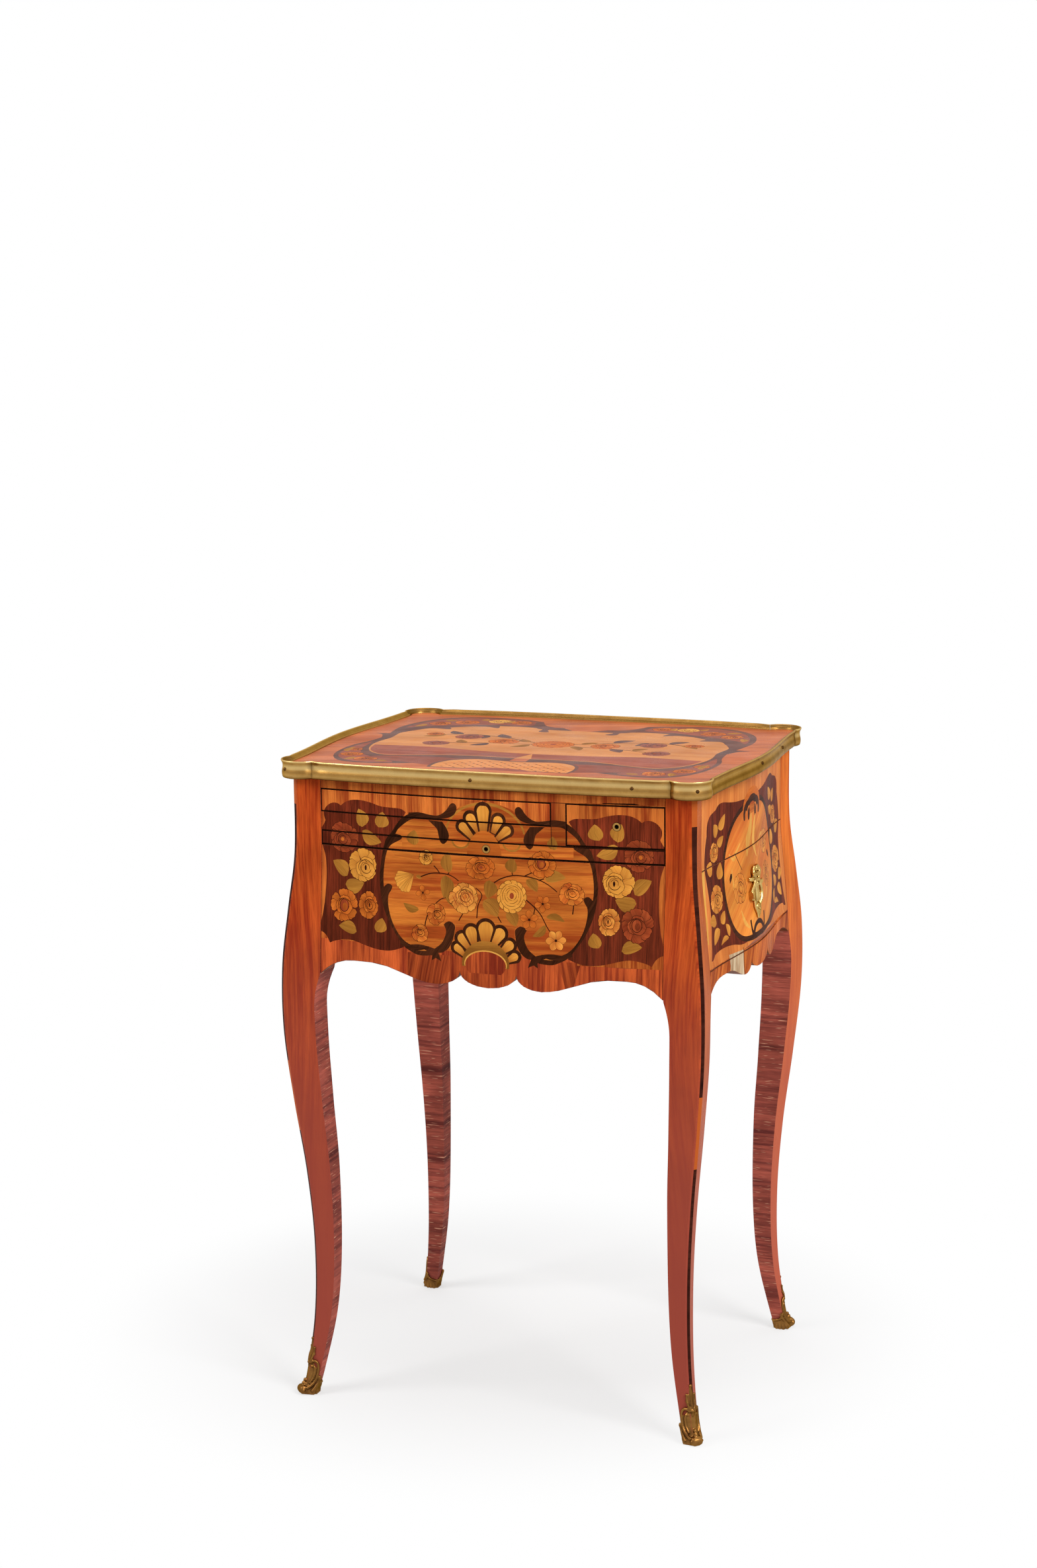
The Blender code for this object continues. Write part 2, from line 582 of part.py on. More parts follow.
# Writing slide
SLIDE_X = (-POST_X + RUN_GAP, POST_X - RUN_GAP)
slide_front = front_piece("writing_slide_front", SLIDE_X, (SLIDE_BASE, SLIDE_TOP - RUN_GAP), WRITING_SLIDE, 12,
                          FRONT_INNER)
SLIDE_FACE = SLIDE_BASE + SLIDE_BOARD
slide_board = board("writing_slide_board", "front", SLIDE_X, (-DRAWER_BACK, FRONT_INNER - FIT),
                    (SLIDE_BASE, SLIDE_FACE), OAK, WRITING_SLIDE)
HIDE_X = (SLIDE_X[0] + LEATHER_MARGIN, SLIDE_X[1] - LEATHER_MARGIN)
HIDE_D = (-DRAWER_BACK + LEATHER_MARGIN, FRONT_INNER - LEATHER_MARGIN)
cut(slide_board, "leather_recess", *box_shape("front", (HIDE_X[0] - FIT, HIDE_X[1] + FIT),
                                              (HIDE_D[0] - FIT, HIDE_D[1] + FIT),
                                              (SLIDE_FACE - LEATHER - FIT, SLIDE_FACE + LEATHER)))
board("writing_slide_leather", "front", HIDE_X, HIDE_D, (SLIDE_FACE - LEATHER, SLIDE_FACE), HIDE, WRITING_SLIDE)


# Locks
def tube_shape(side, u, z, outer, bore, ds, count=20):
    """A ring with its axis across a side: closed loft round its own section."""
    rings = []
    for k in range(count):
        a = 2 * math.pi * k / count
        section = [(outer, ds[0]), (outer, ds[1]), (bore, ds[1]), (bore, ds[0])]
        rings.append([place(side, u + r * math.cos(a), d, z + r * math.sin(a)) for r, d in section])
    return loft(rings, closed=True)


def hole_shape(side, u, z, radius, ds, count=20):
    """A round cutter with its axis across a side."""
    turn = [2 * math.pi * k / count for k in range(count)]
    ring = [(u + radius * math.cos(a), z + radius * math.sin(a)) for a in turn]
    return loft([[place(side, p[0], d, p[1]) for p in ring] for d in ds])


def add_lock(name, side, front, keeper, u, key_z, top, inner, bolt_length, bodies):
    """A lock let into the back of a front, with a bolt that rises into the piece above it."""
    body, bolt_body = bodies
    low = key_z - LOCK_LOW
    floor = inner + LOCK_DEPTH
    wide = LOCK_HALF_WIDTH + FIT
    clear = LOCK_DEPTH + PANEL_WALL
    pocket = (low - FIT, top + clear)
    cut(front, name + "_pocket", *box_shape(side, (u - wide, u + wide), (inner - clear, floor), pocket))
    case = board(name + "_case", side, (u - LOCK_HALF_WIDTH, u + LOCK_HALF_WIDTH), (inner, floor - FIT),
                 (low, top - FIT), STEEL, body)
    bolt_d = (inner + (LOCK_DEPTH - BOLT_THICK) / 2, inner + (LOCK_DEPTH + BOLT_THICK) / 2)
    slot = (u - BOLT_HALF_WIDTH - FIT, u + BOLT_HALF_WIDTH + FIT)
    slot_d = (bolt_d[0] - FIT, bolt_d[1] + FIT)
    bolt_top = top - 2 * FIT
    cut(case, name + "_bolt_slot", *box_shape(side, slot, slot_d, (bolt_top - bolt_length - FIT, top + clear)))
    bolt_z = (bolt_top - bolt_length, bolt_top)
    board(name + "_bolt", side, (u - BOLT_HALF_WIDTH, u + BOLT_HALF_WIDTH), bolt_d, bolt_z, BRASS, bolt_body)
    mortise = (top - clear, bolt_top + BOLT_TRAVEL + RUN_GAP)
    cut(keeper, name + "_mortise", *box_shape(side, slot, slot_d, mortise))


def add_key_ring(name, front, u, z, inner, body):
    """A small brass ring that lines a keyhole."""
    outside = face("front", u, z)
    cut(front, name + "_hole", *hole_shape("front", u, z, KEY_RING + FIT, (inner, outside + KEY_RING)))
    ends = (outside + FIT - KEY_RING_LENGTH, outside + FIT)
    add_solid(name, *tube_shape("front", u, z, KEY_RING, KEY_RING_BORE, ends), BRASS, body, smooth=True)


INK_KEY_Z = DRAWER_TOP - INK_KEY_DROP
SLIDE_KEY_Z = SLIDE_TOP - SLIDE_KEY_DROP
SIDE_KEY_Z = SIDE_TOP - SIDE_KEY_DROP
add_lock("ink_lock", "front", ink_front, top_rail, INK_KEY_X, INK_KEY_Z, INK_Z[1], FRONT_INNER, INK_BOLT_LENGTH,
         (INK_DRAWER, INK_BOLT))
add_key_ring("ink_keyhole_ring", ink_front, INK_KEY_X, INK_KEY_Z, FRONT_INNER, INK_DRAWER)
add_lock("slide_lock", "front", slide_front, middle_rail, 0.0, SLIDE_KEY_Z, SLIDE_TOP - RUN_GAP, FRONT_INNER,
         SLIDE_BOLT_LENGTH, (WRITING_SLIDE, SLIDE_BOLT))
add_key_ring("slide_keyhole_ring", slide_front, 0.0, SLIDE_KEY_Z, FRONT_INNER, WRITING_SLIDE)
SIDE_LOCK_INNER = face("right", 0.0, SIDE_TOP) - FRONT_WALL
add_lock("side_lock", "right", side_front, right_upper_rail, 0.0, SIDE_KEY_Z, SIDE_Z[1], SIDE_LOCK_INNER,
         SIDE_BOLT_LENGTH, (SIDE_DRAWER, SIDE_BOLT))


# Escutcheon of the side drawer
def keyhole_reach(turn, grow=0.0):
    """Distance from the middle of a keyhole to its edge, in one direction: a round head over a slot."""
    reach = KEYHOLE_ROUND
    if math.sin(turn) < 0:
        slot = min(KEYHOLE_SLOT / max(abs(math.cos(turn)), 1e-6), KEYHOLE_LENGTH / abs(math.sin(turn)))
        reach = max(reach, slot)
    return reach + grow


def cartouche_reach(turn):
    """Edge of the escutcheon: an oval broken into leafy scrolls, leaning to one side."""
    scroll = 1 + 0.13 * math.cos(5 * turn - 0.5) + 0.06 * math.cos(9 * turn + 1.1)
    return scroll / math.hypot(math.cos(turn) / ESCUTCHEON_HALF_WIDTH, math.sin(turn) / ESCUTCHEON_HALF_HEIGHT)


def keyhole_turns():
    """Directions round a keyhole, with the corners of its slot among them."""
    corner = math.atan2(KEYHOLE_LENGTH, KEYHOLE_SLOT)
    shoulder = math.acos(KEYHOLE_SLOT / KEYHOLE_ROUND)
    spread = [2 * math.pi * (k + 0.5) / ESCUTCHEON_STEPS for k in range(ESCUTCHEON_STEPS)]
    marks = [2 * math.pi - corner, math.pi + corner, 2 * math.pi - shoulder, math.pi + shoulder]
    near = math.pi / ESCUTCHEON_STEPS
    return sorted([a for a in spread if min(abs(a - m) for m in marks) > near / 2] + marks)


def escutcheon_ring(share, rise):
    """One ring of the escutcheon, from the keyhole at share 0 to the edge at share 1, off the drawer front."""
    ring = []
    for turn in keyhole_turns():
        reach = keyhole_reach(turn) * (1 - share) + cartouche_reach(turn) * share
        u, z = reach * math.cos(turn), SIDE_KEY_Z + reach * math.sin(turn)
        ring.append(place("right", u, face("right", u, z) + FIT + rise, z))
    return ring


ESCUTCHEON_RINGS = ((0.0, 0.0), (0.0, 0.45), (0.22, 0.5), (0.36, 1.0), (0.55, 0.6), (0.75, 0.75), (1.0, 0.0))
rings = [escutcheon_ring(share, ESCUTCHEON_EDGE + ESCUTCHEON_RISE * rise if rise else share * ESCUTCHEON_EDGE)
         for share, rise in ESCUTCHEON_RINGS]
rings += [escutcheon_ring(share, 0.0) for share in (1.0, 0.6, 0.3)]
add_solid("side_escutcheon", *loft(rings, closed=True), BRASS, SIDE_DRAWER, smooth=True)
hole_turns = keyhole_turns()
hole = [[place("right", keyhole_reach(a) * math.cos(a), d, SIDE_KEY_Z + keyhole_reach(a) * math.sin(a))
         for a in hole_turns] for d in (SIDE_LOCK_INNER, face("right", 0.0, SIDE_KEY_Z) + ESCUTCHEON_RISE)]
cut(side_front, "side_keyhole", *loft(hole))


# Top and rim
def seam_offsets():
    """Where a corner lobe meets the front length and the side length, out from the lobe's centre."""
    front = math.sqrt(LOBE_RADIUS ** 2 - (RIM_FRONT - LOBE_Y) ** 2)
    side = math.sqrt(LOBE_RADIUS ** 2 - (RIM_SIDE - LOBE_X) ** 2)
    return front, side


FRONT_SEAM, SIDE_SEAM = seam_offsets()
SEAM_X = LOBE_X - FRONT_SEAM
SEAM_Y = LOBE_Y - SIDE_SEAM


def front_path():
    """Outer line of the front length of the rim, from left to right, with outward directions."""
    path = []
    for x in [SEAM_X * math.sin(turn) for turn in even(-math.pi / 2, math.pi / 2, RIM_STEPS)]:
        y = RIM_FRONT + RIM_FRONT_BOW * (1 - (x / SEAM_X) ** 4)
        slope = -4 * RIM_FRONT_BOW * x ** 3 / SEAM_X ** 4
        path.append((Vector((x, -y)), Vector((-slope, -1.0)).normalized()))
    return path


def lobe_path():
    """Outer line of the front right lobe, from the front seam round to the side seam."""
    start = math.atan2(-(RIM_FRONT - LOBE_Y), -FRONT_SEAM)
    end = math.atan2(SIDE_SEAM, RIM_SIDE - LOBE_X)
    path = []
    for turn in even(start, end, RIM_STEPS):
        out = Vector((math.cos(turn), math.sin(turn)))
        path.append((Vector((LOBE_X, -LOBE_Y)) + out * LOBE_RADIUS, out))
    return path


def side_path():
    """Outer line of the right length of the rim, from the front to the back."""
    path = []
    for y in even(-SEAM_Y, SEAM_Y, RIM_STEPS):
        wave = math.pi * y / (2 * SEAM_Y)
        x = RIM_SIDE + RIM_SIDE_BOW * math.cos(wave) ** 2
        slope = -RIM_SIDE_BOW * math.sin(2 * wave) * math.pi / (2 * SEAM_Y)
        path.append((Vector((x, y)), Vector((1.0, -slope)).normalized()))
    return path


def flip(path, sx, sy):
    """A path mirrored to another side, still running the same way round."""
    flipped = [(Vector((p.x * sx, p.y * sy)), Vector((n.x * sx, n.y * sy))) for p, n in path]
    return flipped if sx * sy > 0 else flipped[::-1]


RIM_PATHS = [("front", front_path()), ("front_right", lobe_path()), ("right", side_path()),
             ("back_right", flip(lobe_path(), 1, -1)), ("back", flip(front_path(), -1, -1)),
             ("back_left", flip(lobe_path(), -1, -1)), ("left", flip(side_path(), -1, -1)),
             ("front_left", flip(lobe_path(), -1, 1))]


def mitre(a, b):
    """Direction of the joint between two outward directions, stretched so that offsets stay true."""
    joint = (a + b).normalized()
    return joint / joint.dot(a)


def mitred(index):
    """One rim path with its end directions turned to the joints with its neighbours."""
    path = list(RIM_PATHS[index][1])
    before = RIM_PATHS[index - 1][1][-1][1]
    after = RIM_PATHS[(index + 1) % len(RIM_PATHS)][1][0][1]
    path[0] = (path[0][0], mitre(path[0][1], before))
    path[-1] = (path[-1][0], mitre(path[-1][1], after))
    return path


# Rim section, from the underside of the outer bulge up to its top edge: shares of its depth and of its height
RIM_PROFILE = ((0.39, 0.0), (0.13, 0.072), (0.0, 0.236), (0.11, 0.41), (0.39, 0.533), (0.52, 0.564),
               (0.61, 0.687), (0.52, 0.82), (0.29, 0.903), (0.32, 1.0), (0.77, 1.0))
# Inner side of the rim, down to the lip: shares of its depth and of the way down to the top
RIM_INSIDE = ((1.0, 0.27), (1.16, 0.53))
LIP_TOP = 0.71               # top edge of the lip, as a share of the way down to the top


def rim_section():
    """Section of the rim: distance in from the outer bulge, height above the underside."""
    lip = RIM_DEPTH + RIM_COVER
    seat = RIM_HEIGHT - RIM_STAND - RIM_REBATE + FIT
    section = [(RIM_DEPTH, 0.0)]
    section += [(RIM_DEPTH * depth, RIM_HEIGHT * rise) for depth, rise in RIM_PROFILE]
    section += [(RIM_DEPTH * depth, RIM_HEIGHT - RIM_STAND * drop) for depth, drop in RIM_INSIDE]
    return section + [(lip, RIM_HEIGHT - RIM_STAND * LIP_TOP), (lip, seat), (RIM_DEPTH, seat)]


def add_rim(index):
    """One cast length or corner of the brass rim, cut short at each joint."""
    path = mitred(index)
    first, last = path[0][0], path[-1][0]
    path[0] = (first + (path[1][0] - first).normalized() * FIT / 2, path[0][1])
    path[-1] = (last + (path[-2][0] - last).normalized() * FIT / 2, path[-1][1])
    squeeze = (RIM_HEIGHT - FIT) / RIM_HEIGHT
    section = [(inward, CASE_TOP + FIT + rise * squeeze) for inward, rise in rim_section()]
    rings = [[(*(p - n * inward), z) for inward, z in section] for p, n in path]
    add_solid("rim_" + RIM_PATHS[index][0], *loft(rings), BRASS, CASE, smooth=True)


# The top: its edge is stepped down under the inner lip of the rim
edge, field = [], []
for index in range(len(RIM_PATHS)):
    add_rim(index)
    for p, n in mitred(index)[:-1]:
        edge.append(p - n * (RIM_DEPTH + FIT))
        field.append(p - n * (RIM_DEPTH + RIM_COVER + FIT))
STEP_Z = TOP_SURFACE - RIM_REBATE
TOP_RINGS = ((edge, CASE_TOP + FIT), (edge, STEP_Z), (field, STEP_Z), (field, TOP_SURFACE))
add_solid("top_board", *loft([[(*p, z) for p in ring] for ring, z in TOP_RINGS]), TULIPWOOD, CASE)
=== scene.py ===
"""Looks of the writing table: veneers, marquetry, gilt brass, leather, light and camera.

Metres in the frame of the solids: +Z up, the front faces -Y. Marquetry is drawn in millimetres on flat
pictures, u along a side and z up (x and y on the top), and then laid over the curved faces of the case.
"""
import json
import math
import random

import bpy
from mathutils import Matrix, Vector, geometry


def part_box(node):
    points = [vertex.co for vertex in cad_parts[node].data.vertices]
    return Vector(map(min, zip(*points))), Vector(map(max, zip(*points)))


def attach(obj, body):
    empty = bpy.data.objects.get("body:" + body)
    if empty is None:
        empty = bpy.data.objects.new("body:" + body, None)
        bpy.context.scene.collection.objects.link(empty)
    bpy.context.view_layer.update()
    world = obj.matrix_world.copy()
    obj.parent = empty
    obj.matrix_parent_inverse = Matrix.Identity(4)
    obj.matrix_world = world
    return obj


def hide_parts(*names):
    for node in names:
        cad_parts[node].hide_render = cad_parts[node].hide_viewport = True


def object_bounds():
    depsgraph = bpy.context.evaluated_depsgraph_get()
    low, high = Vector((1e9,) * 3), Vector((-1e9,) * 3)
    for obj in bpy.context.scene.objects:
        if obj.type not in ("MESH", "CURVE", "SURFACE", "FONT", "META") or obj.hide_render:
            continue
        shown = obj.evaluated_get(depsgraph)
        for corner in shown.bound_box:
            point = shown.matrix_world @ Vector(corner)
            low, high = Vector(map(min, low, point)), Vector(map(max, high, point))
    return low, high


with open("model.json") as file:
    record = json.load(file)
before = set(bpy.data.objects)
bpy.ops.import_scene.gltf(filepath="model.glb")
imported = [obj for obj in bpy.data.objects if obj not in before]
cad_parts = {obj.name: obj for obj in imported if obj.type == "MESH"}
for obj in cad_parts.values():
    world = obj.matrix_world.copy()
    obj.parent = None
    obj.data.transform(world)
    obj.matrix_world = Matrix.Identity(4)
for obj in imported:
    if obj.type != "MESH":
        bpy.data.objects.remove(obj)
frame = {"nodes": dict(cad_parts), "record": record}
CAD_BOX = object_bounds()
NODES = frame["nodes"]

# Sizes of the case, as in the solids
HEIGHT = 0.700
HALF_WIDTH = 0.2221
HALF_DEPTH = 0.1839
FRONT_BOW = 0.0115
SIDE_BOW = 0.0103
STILE_WIDTH = 0.033
RIM_HEIGHT = 0.0195
RIM_STAND = 0.0055
RIM_DEPTH = 0.0062
RIM_COVER = 0.0026
RIM_FRONT = HALF_DEPTH + 0.0068
RIM_FRONT_BOW = 0.008
RIM_SIDE = HALF_WIDTH + 0.0137
RIM_SIDE_BOW = 0.0098
LOBE_RADIUS = 0.026
LOBE_X = RIM_SIDE + 0.0027 - LOBE_RADIUS
LOBE_Y = RIM_FRONT + 0.0070 - LOBE_RADIUS
CASE_TOP = HEIGHT - RIM_HEIGHT
TOP_SURFACE = HEIGHT - RIM_STAND
POST_X = HALF_WIDTH - STILE_WIDTH
POST_Y = HALF_DEPTH - STILE_WIDTH
LEG_SWELL = ((0.0, 0.0035), (0.03, -0.0016), (0.132, -0.0095), (0.25, -0.0105), (0.367, -0.0055),
    (0.485, 0.0034), (0.603, 0.0105), (0.705, 0.0105), (0.794, 0.0050), (0.882, -0.0010), (1.0, -0.0013))
LEG_WIDTH = ((0.0, 0.0152), (0.03, 0.0152), (0.147, 0.0202), (0.294, 0.0246), (0.441, 0.0308),
    (0.588, 0.0362), (0.66, 0.0370))
SPLAY = 0.12                 # how far the outer faces of a leg fall back, per length away from its corner
CANT_FOOT = 0.0038
CANT_TOP = 0.0070
EAR_TOP = 0.4737
EAR_RISE = 0.037
MM = 0.001
VENEER_OUT = 0.00045         # outer face of a veneer, off the solid
VENEER_BACK = 0.0004         # how far a veneer reaches into the solid behind it
PANEL_PROUD = 0.0005         # extra lift of the veneers of the whole panels at the back and the left


# Curves
def smooth_curve(knots):
    """A smooth function through (place, value) knots."""
    places = [k[0] for k in knots]
    values = [k[1] for k in knots]

    def slope(i):
        low, high = max(i - 1, 0), min(i + 1, len(knots) - 1)
        return (values[high] - values[low]) / (places[high] - places[low])

    def value(place):
        place = min(max(place, places[0]), places[-1])
        i = max(k for k in range(len(places) - 1) if places[k] <= place)
        span = places[i + 1] - places[i]
        t = (place - places[i]) / span
        return (values[i] * (1 + 2 * t) * (1 - t) ** 2 + span * slope(i) * t * (1 - t) ** 2
            + values[i + 1] * t * t * (3 - 2 * t) + span * slope(i + 1) * t * t * (t - 1))

    return value


swell_at = smooth_curve(LEG_SWELL)
width_at = smooth_curve(LEG_WIDTH)


def swell(z):
    """Outward swell of the case and legs at height z."""
    return swell_at(z / CASE_TOP)


def cant(z):
    """Width of the canted corner of a leg at a height, along each face."""
    return CANT_FOOT + (CANT_TOP - CANT_FOOT) * (z / CASE_TOP) ** 4


def face(side, u, z):
    """Distance from the middle to the outer face of the case."""
    fall = SPLAY * (STILE_WIDTH + swell(z) - cant(z))
    if side in ("front", "back"):
        share = min(abs(u) / POST_X, 1.0)
        return HALF_DEPTH + swell(z) - fall + FRONT_BOW * (1 - share * share)
    share = min(abs(u) / POST_Y, 1.0)
    return HALF_WIDTH + swell(z) - fall + SIDE_BOW * math.cos(share * math.pi / 2) ** 2


def place(side, u, d, z):
    """World point of a place along a side, a distance out from the middle, and a height."""
    return {"front": (u, -d, z), "back": (-u, d, z), "right": (d, u, z), "left": (-d, -u, z)}[side]


def spline(knots, closed=False, steps=5):
    """A smooth line through 2-D or 3-D knots."""
    count = len(knots)
    line = []
    for i in range(count if closed else count - 1):
        if closed:
            p = [Vector(knots[(i + k) % count]) for k in (-1, 0, 1, 2)]
        else:
            p = [Vector(knots[min(max(i + k, 0), count - 1)]) for k in (-1, 0, 1, 2)]
        for s in range(steps):
            t = s / steps
            square = (2 * p[0] - 5 * p[1] + 4 * p[2] - p[3]) * t * t
            cube = (3 * p[1] - p[0] - 3 * p[2] + p[3]) * t ** 3
            line.append(0.5 * (2 * p[1] + (p[2] - p[0]) * t + square + cube))
    if not closed:
        line.append(Vector(knots[-1]))
    return line


def outline(*runs):
    """A closed outline of smooth runs that meet at corners."""
    points = []
    for run in runs:
        points += spline(run)[:-1] if len(run) > 1 else [Vector(run[0])]
    return points


def mirror(points):
    """The same outline on the other side of u = 0."""
    return [Vector((-p[0], p[1])) for p in reversed(points)]


def sided(points, side):
    """An outline at the right of u = 0, or its mirror image at the left where side is -1."""
    return mirror(points) if side < 0 else list(points)


def ellipse(cx, cz, rx, rz, start=0.0, end=360.0, count=24):
    """Points of an ellipse, or of a part of one."""
    turns = [math.radians(start + (end - start) * k / count) for k in range(count + (end - start < 360))]
    return [Vector((cx + rx * math.cos(a), cz + rz * math.sin(a))) for a in turns]


def ribbon(knots, widths, steps=5):
    """Outline of a stripe along a smooth line, with a width at each knot."""
    line = spline(knots, steps=steps)
    left, right = [], []
    for i, p in enumerate(line):
        ahead = (line[min(i + 1, len(line) - 1)] - line[max(i - 1, 0)]).normalized()
        share = i / (len(line) - 1) * (len(widths) - 1)
        k = min(int(share), len(widths) - 2)
        half = (widths[k] + (widths[k + 1] - widths[k]) * (share - k)) / 2
        across = Vector((-ahead.y, ahead.x)) * half
        left.append(p + across)
        right.append(p - across)
    return left + right[::-1]


# Materials
def linear(colour):
    """A colour written as on a screen, 0 to 255, as the shader's own numbers."""
    shares = [c / 255 for c in colour]
    return tuple(s / 12.92 if s < 0.04045 else ((s + 0.055) / 1.055) ** 2.4 for s in shares) + (1.0,)


class Shader:
    """A material being built node by node."""

    def __init__(self, name):
        self.material = bpy.data.materials.new(name)
        self.material.use_nodes = True
        self.tree = self.material.node_tree
        self.surface = self.tree.nodes["Principled BSDF"]

    def node(self, kind, inputs=None, **settings):
        """A node with its settings, and with its inputs set or linked."""
        node = self.tree.nodes.new("ShaderNode" + kind)
        for key, value in settings.items():
            setattr(node, key, value)
        for key, value in (inputs or {}).items():
            self.join(node.inputs[key], value)
        return node

    def join(self, socket, value):
        """Link a socket, or set its value."""
        if isinstance(value, bpy.types.NodeSocket):
            self.tree.links.new(value, socket)
        else:
            socket.default_value = value

    def math(self, operation, *values):
        node = self.node("Math", operation=operation)
        for socket, value in zip(node.inputs, values):
            self.join(socket, value)
        return node.outputs[0]

    def mix(self, factor, a, b, blend="MIX"):
        node = self.node("Mix", data_type="RGBA", blend_type=blend)
        for socket, value in ((node.inputs[0], factor), (node.inputs[6], a), (node.inputs[7], b)):
            self.join(socket, value)
        return node.outputs[2]

    def ramp(self, factor, stops):
        """Colours or grey values at places along a ramp."""
        node = self.node("ValToRGB", {"Fac": factor})
        points = node.color_ramp.elements
        while len(points) < len(stops):
            points.new(0.5)
        for point, (position, colour) in zip(points, stops):
            point.position = position
            point.color = colour if isinstance(colour, tuple) else (colour, colour, colour, 1.0)
        return node.outputs["Color"]

    def noise(self, vector, scale, detail=3.0, roughness=0.55, distortion=0.0):
        return self.node("TexNoise", {"Vector": vector, "Scale": scale, "Detail": detail,
                "Roughness": roughness, "Distortion": distortion}).outputs["Fac"]

    def span(self, value, low, high, start=0.0, end=1.0):
        """A value between start and end as one between low and high."""
        return self.node("MapRange", {"Value": value, "From Min": start, "From Max": end, "To Min": low,
                "To Max": high}).outputs["Result"]

    def drive(self, name, value):
        """Link an input of the surface."""
        self.join(self.surface.inputs[name], value)

    def place_in(self):
        """Places on the piece, in metres."""
        return self.node("TexCoord").outputs["Object"]

    def bump(self, height, distance, strength=1.0):
        node = self.node("Bump", {"Height": height, "Distance": distance, "Strength": strength})
        self.drive("Normal", node.outputs["Normal"])


def set_surface(shader, **values):
    """Constant values of the surface, by their socket names with underscores."""
    for key, value in values.items():
        shader.surface.inputs[key.replace("_", " ")].default_value = value


OPEN_GRAIN = (206, 150, 122)


def wood(name, light, dark, burn, stripe=150.0, contrast=1.0, pores=0.25, patch=0.14,
        cracks=0.0, sheen=0.006):
    """A polished veneer. The grain runs along the first direction of the grain map. The tone holds a
    brightness, a share of burn for sand-shaded edges and a number of its own for each piece."""
    shader = Shader(name)
    grain = shader.node("UVMap", uv_map="grain").outputs["UV"]
    parts = shader.node("SeparateXYZ", {"Vector": grain})
    tone = shader.node("VertexColor", layer_name="tone").outputs["Color"]
    tones = shader.node("SeparateColor", {"Color": tone})
    own = shader.math("MULTIPLY", tones.outputs["Blue"], 9.0)

    def stretched(along, across):
        s = shader.math("MULTIPLY", parts.outputs["X"], along)
        t = shader.math("MULTIPLY", parts.outputs["Y"], across)
        return shader.node("CombineXYZ", {"X": s, "Y": t, "Z": own}).outputs["Vector"]

    broad = shader.noise(stretched(stripe * 0.04, stripe * 0.45), 1.0, 3.0, 0.55, 0.7)
    middle = shader.noise(stretched(stripe * 0.08, stripe * 2.4), 1.0, 3.0, 0.6, 0.4)
    hair = shader.noise(stretched(70.0, 2200.0), 1.0, 2.0, 0.5)
    spread = 0.15 / contrast
    figure = shader.math("ADD", shader.math("MULTIPLY", broad, 0.5), shader.math("MULTIPLY", middle, 0.5))
    colour = shader.ramp(figure, [(0.5 - spread, linear(dark)), (0.5 + spread, linear(light))])
    streak = shader.ramp(hair, [(0.36, 1.0 - pores), (0.54, 1.0)])
    colour = shader.mix(1.0, colour, streak, "MULTIPLY")
    stain = shader.noise(stretched(16.0, 22.0), 1.0, 2.0, 0.5)
    stained = shader.ramp(stain, [(0.34, 1.0 - patch), (0.62, 1.0)])
    colour = shader.mix(1.0, colour, stained, "MULTIPLY")
    if cracks:
        lines = shader.noise(stretched(60.0, 900.0), 1.0, 1.0, 0.5)
        open_grain = shader.ramp(lines, [(0.66, 0.0), (0.72, cracks)])
        colour = shader.mix(open_grain, colour, linear(OPEN_GRAIN))
    colour = shader.mix(tones.outputs["Green"], colour, linear(burn))
    level = shader.node("CombineColor", {"Red": tones.outputs["Red"], "Green": tones.outputs["Red"],
            "Blue": tones.outputs["Red"]}).outputs["Color"]
    colour = shader.mix(1.0, colour, level, "MULTIPLY")
    shader.drive("Base Color", colour)
    worn = shader.noise(shader.place_in(), 28.0, 4.0, 0.6)
    shader.drive("Roughness", shader.span(worn, 0.24, 0.38, 0.3, 0.7))
    shader.bump(shader.math("ADD", hair, middle), 0.00004, 0.5)
    set_surface(shader, Specular_IOR_Level=sheen)
    return shader.material


